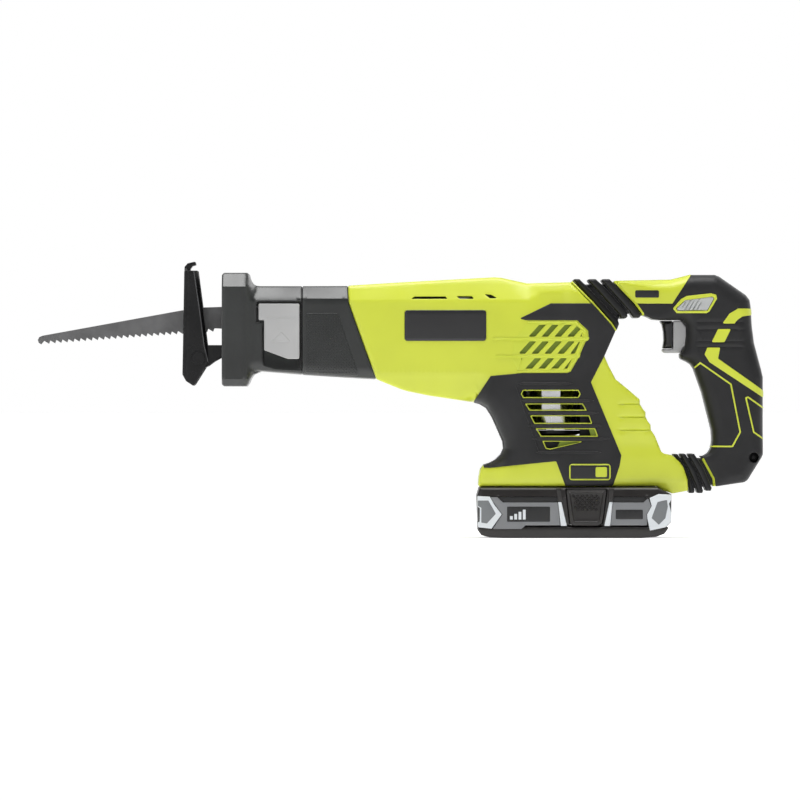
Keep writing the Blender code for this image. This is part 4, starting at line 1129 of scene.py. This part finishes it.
def build_controls():
    """The ribbed lock-off button, and the trigger with its black pad."""

    def button_height(x, z):
        wave = np.clip(1 - np.abs(((x - 0.6 * z) % 2.8) - 1.4) / 0.6, 0, 1)
        return 19.7 - 1.3 * wave * ramp(x, 196.5, 198) * (1 - ramp(x, 209.5, 211))

    lines = [[(198 + 0.7 * k + 6, 170), (198 + 0.7 * k, 160)] for k in range(-10, 18)]
    button = relief(LOCK_BUTTON, button_height, 0.5, 0.0, creases=lines, step=1.0, corner=0.8)
    piece("lock_off_cap", both(button), "button", "lock_button", ["lock_button"])
    trigger = relief(TRIGGER, constant(11.4), 1.2, 0.0, step=2, corner=1.5)
    piece("trigger_shell", both(trigger), "trigger", "trigger", ["trigger"])

    def pad_rim(x, z):
        return np.where(x < 188.5, 3.6, 0.8)

    pad = relief(TRIGGER_PAD, constant(11.5), pad_rim, 0.0, step=1.5)
    piece("trigger_face", both(pad), "black", "trigger", ["trigger_pad"])


def bellows(name, core, ribs):
    """A plain core with ribs round it, stretched between the body and the handle."""
    skin = both(joined(core, *ribs))
    obj = piece(f"{name}_skin", skin, "bellows", None, [name], 60)
    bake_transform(obj)


def build_bellows():
    def collar(width):
        return lambda x, z: stations(x, ((118, width + 2.5), (168, width), (220, width)))

    core = relief(UPPER_CORE, collar(18.6), 2.0, 0.0)
    ribs = [relief(rib, collar(24.2), 1.9, 0.0, step=2, corner=1.2) for rib in UPPER_RIBS]
    bellows("upper_bellows", core, ribs)
    core = relief(LOWER_CORE, constant(15.6), 2.0, 0.0)
    ribs = [relief(rib, constant(20.2), 1.7, 0.0, step=2) for rib in LOWER_RIBS]
    bellows("lower_bellows", core, ribs)
    edge = stroke([(119.3, 180.7), (133.9, 165.9), (147.3, 150.9), (150.2, 146.4)], 1.1)
    ring = relief(edge, on_flank(-0.6), 0.3, 0.0, corner=0.3)
    piece("bellows_ring_front", both(ring), "green", "tool_body")


def build_battery():
    """The pack's case with its wells, its stem and its pan."""

    def case_height(x, z):
        top = ramp(z, 30.3, 30.9)
        return 39.0 + 0.9 * top - 0.5 * np.maximum(z - 31, 0) * top * 0.35

    def case_hole_back(x, z):
        return np.where((x > 114) & (x < 145), 32.8, 36.0)

    case = relief(
        BATTERY_CASE, case_height, 2.4, 0.0, [inset(LATCH, -0.5), *BAND_RECESS],
        [[(52, z), (189, z)] for z in (30.3, 30.9)], corner=1.5, hole_rim=0.4, hole_back=case_hole_back,
    )
    piece("pack_shell", both(case), "pack", "battery", ["battery_case"])
    wells = [relief(inset(recess, -0.4), constant(37.6), 0.2, 36.0, step=4) for recess in BAND_RECESS]
    wells.append(relief(inset(LATCH, -0.4), constant(33.4), 0.2, 32.6, step=4))
    piece("pack_wells", both(joined(*wells)), "black", "battery")
    outline = [(109, 36.5), (151, 36.5), (151, 62), (147, 66), (113, 66), (109, 62)]
    stem = relief(outline, constant(17.4), 1.5, 0.0, step=4)
    piece("pack_stem", both(stem), "pack", "battery")

    def pan_height(x, z):
        return 39.5 - 0.1 * np.maximum(8 - z, 0)

    pan = relief(BATTERY_PAN, pan_height, 1.8, 0.0, corner=2.0)
    piece("pack_pan", both(pan), "pack", "battery", ["battery_pan"])


def flat_plates(outlines, level, rim, corner):
    """Thin flat plates on the pack's side, as one surface."""
    return joined(*(relief(o, constant(level), rim, 38.6, step=4, corner=corner) for o in outlines))


def build_battery_side():
    """The side panels, their white and grey accents, the blank labels and the charge bars."""
    for place, outline in (("front", FRONT_PANEL), ("rear", REAR_PANEL)):
        panel = flat_plates([outline], 39.75, 0.25, 0.6)
        pair(f"pack_panel_{place}", panel, "panel", "battery", [f"battery_panel_{place}"])
    trim = joined(
        flat_plates((FRONT_ACCENT, REAR_ACCENT), 40.15, 0.5, 0.5), flat_plates(LATCH_STRIPS, 40.05, 0.5, 0.4)
    )
    pair("pack_trim", trim, "white", "battery")
    pair("pack_pillars", flat_plates(LATCH_PILLARS, 40.1, 0.7, 0.4), "pack", "battery")
    inlays = flat_plates((FRONT_INLAY, REAR_INLAY), 40.3, 0.2, 0.5)
    pair("pack_inlays", inlays, "inlay", "battery")
    labels = flat_plates((box(149.8, 14.8, 168.8, 21.4), box(74, 13, 104, 23.6)), 39.95, 0.15, 0.8)
    pair("pack_tag", labels, "black", "battery")
    bars = [box(76 + 3 * k, 14.6, 78 + 3 * k, 17 + 1.5 * k) for k in range(4)]
    pair("pack_charge_mark", flat_plates(bars, 40.05, 0.1, 0.2), "white", "battery")


def build_battery_latches():
    frame_loop = rounded(LATCH_FRAME, 1.0)

    def latch_height(x, z):
        edge = away_from(frame_loop, x, z, True)
        return 40.0 + 0.7 * np.clip(1 - edge / 0.6, 0, 1) + 0.2 * (1 - ramp(z, 20, 23))

    loops = (frame_loop, inset(LATCH_FRAME, 0.5), inset(LATCH_FRAME, -0.5))
    lines = [resampled(np.append(loop, loop[:1], axis=0), 1.5, closed=False) for loop in loops]
    latch = relief(LATCH, latch_height, 0.9, 36.4, creases=lines, step=2.5, corner=1.6)
    pattern = studs((117, 21.5), (143, 33.3), 3.2, 1.3, 0.75, constant(40.0), inset(LATCH_FRAME, 0.9))
    pair("latch_cap", joined(latch, pattern), "pack", "latch_{}", ["battery_latch"], 25)


def dress_cad_nodes():
    """Gives each CAD node that still shows its own finish, and some of them a worn edge."""
    finish = {
        "blade": ["blade"],
        "steel": [
            "plunger", "blade_clamp", "crank_gear", "crank_pin", "crank_axle", "motor_shaft", "pinion",
            "motor_bearing", "upper_guide_rod", "lower_guide_rod",
        ],
        "bronze": ["plunger_bush_front", "plunger_bush_rear"],
        "black_steel": ["shoe_bracket", "shoe_pivot_pin", "lever_hinge_pin"],
        "aluminium": ["gear_case", "gear_case_cover"],
        "can": ["motor_can"],
        "copper": ["rotor", "battery_terminals"],
        "black": ["motor_end_bell", "fan", "switch_body"],
        "cell": [f"cell_{n}" for n in range(1, 6)],
    }
    for look, nodes in finish.items():
        for node in nodes:
            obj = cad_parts[node]
            obj.data.materials.clear()
            obj.data.materials.append(LOOKS[look])
    for node, width in (("shoe_bracket", 0.4), ("shoe_pivot_pin", 0.4), ("blade_clamp", 0.3)):
        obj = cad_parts[node]
        weld = obj.modifiers.new("weld", "WELD")
        weld.merge_threshold = 0.00001
        bevel = obj.modifiers.new("worn_edges", "BEVEL")
        bevel.width = width * MM
        bevel.segments = 2
        bevel.limit_method = "ANGLE"
        bevel.angle_limit = math.radians(30)
        bevel.harden_normals = True


# Studio


def build_world():
    """Soft studio surround: bright overhead and low down, dimmer in between and on the near side."""
    world = bpy.data.worlds.new("studio")
    world.use_nodes = True
    tree = world.node_tree
    direction = tree.nodes.new("ShaderNodeTexCoord").outputs["Generated"]
    split = tree.nodes.new("ShaderNodeSeparateXYZ")
    tree.links.new(direction, split.inputs["Vector"])
    band = tree.nodes.new("ShaderNodeValToRGB")
    tree.links.new(split.outputs["Z"], band.inputs["Fac"])
    levels = ((0.0, 1.0), (0.1, 1.0), (0.24, 0.42), (0.6, 0.5), (0.9, 1.0))
    while len(band.color_ramp.elements) < len(levels):
        band.color_ramp.elements.new(0.5)
    for element, (place, level) in zip(band.color_ramp.elements, levels):
        element.position = place
        element.color = (level, level, level, 1)
    depth = tree.nodes.new("ShaderNodeMapRange")
    for socket, value in (("From Min", -0.5), ("From Max", 0.3), ("To Min", 0.42), ("To Max", 1.0)):
        depth.inputs[socket].default_value = value
    tree.links.new(split.outputs["Y"], depth.inputs["Value"])
    background = tree.nodes["Background"]
    tree.links.new(band.outputs["Color"], background.inputs["Color"])
    tree.links.new(depth.outputs["Result"], background.inputs["Strength"])
    bpy.context.scene.world = world


def build_floor():
    """A white floor that shines a little, so that it reads as plain white and still takes a shadow."""
    look = Look("studio_floor", (0.8, 0.8, 0.8), 0.75, (3, 2, 0.9875, 1.0125))
    look.set(Emission_Color=(1, 1, 1, 1), Emission_Strength=0.58)
    mesh = bpy.data.meshes.new("studio_floor")
    bm = bmesh.new()
    bmesh.ops.create_circle(bm, cap_ends=True, segments=96, radius=60.0)
    bm.to_mesh(mesh)
    bm.free()
    mesh.materials.append(look.material)
    floor = bpy.data.objects.new("studio_floor", mesh)
    floor.location.z = -0.0002
    bpy.context.scene.collection.objects.link(floor)


def build_lamps():
    aim = Vector((0.0, 0.0, 0.11))
    for name, place, size, energy in (
        ("top_softbox", (-0.05, -0.12, 1.15), (1.1, 0.6), 13),
        ("front_softbox", (-0.9, -1.7, 0.8), (0.8, 0.8), 3.5),
        ("rim_softbox", (0.8, 0.9, 0.7), (0.7, 0.7), 3),
    ):
        light = bpy.data.lights.new(name, "AREA")
        light.shape = "RECTANGLE"
        light.size, light.size_y = size
        light.energy = energy
        lamp = bpy.data.objects.new(name, light)
        lamp.location = place
        lamp.rotation_euler = (aim - Vector(place)).to_track_quat("-Z", "Y").to_euler()
        bpy.context.scene.collection.objects.link(lamp)


def build_camera():
    camera = bpy.data.cameras.new("camera")
    camera.lens = 400
    camera.sensor_width = 36
    camera.clip_end = 100
    width_shown = 0.5618
    holder = bpy.data.objects.new("camera", camera)
    holder.location = (-0.0002, -width_shown * camera.lens / camera.sensor_width, 0.0964)
    holder.rotation_euler = (math.radians(90), 0, 0)
    bpy.context.scene.collection.objects.link(holder)
    bpy.context.scene.camera = holder


def main():
    build_boot()
    build_lever()
    build_sleeve()
    build_shoe()
    build_shell()
    build_grille()
    build_lower_vents()
    build_body_badges()
    build_handle()
    build_controls()
    build_bellows()
    build_battery()
    build_battery_side()
    build_battery_latches()
    dress_cad_nodes()
    build_floor()
    build_world()
    build_lamps()
    build_camera()
    bpy.context.scene.view_settings.view_transform = "Standard"


main()
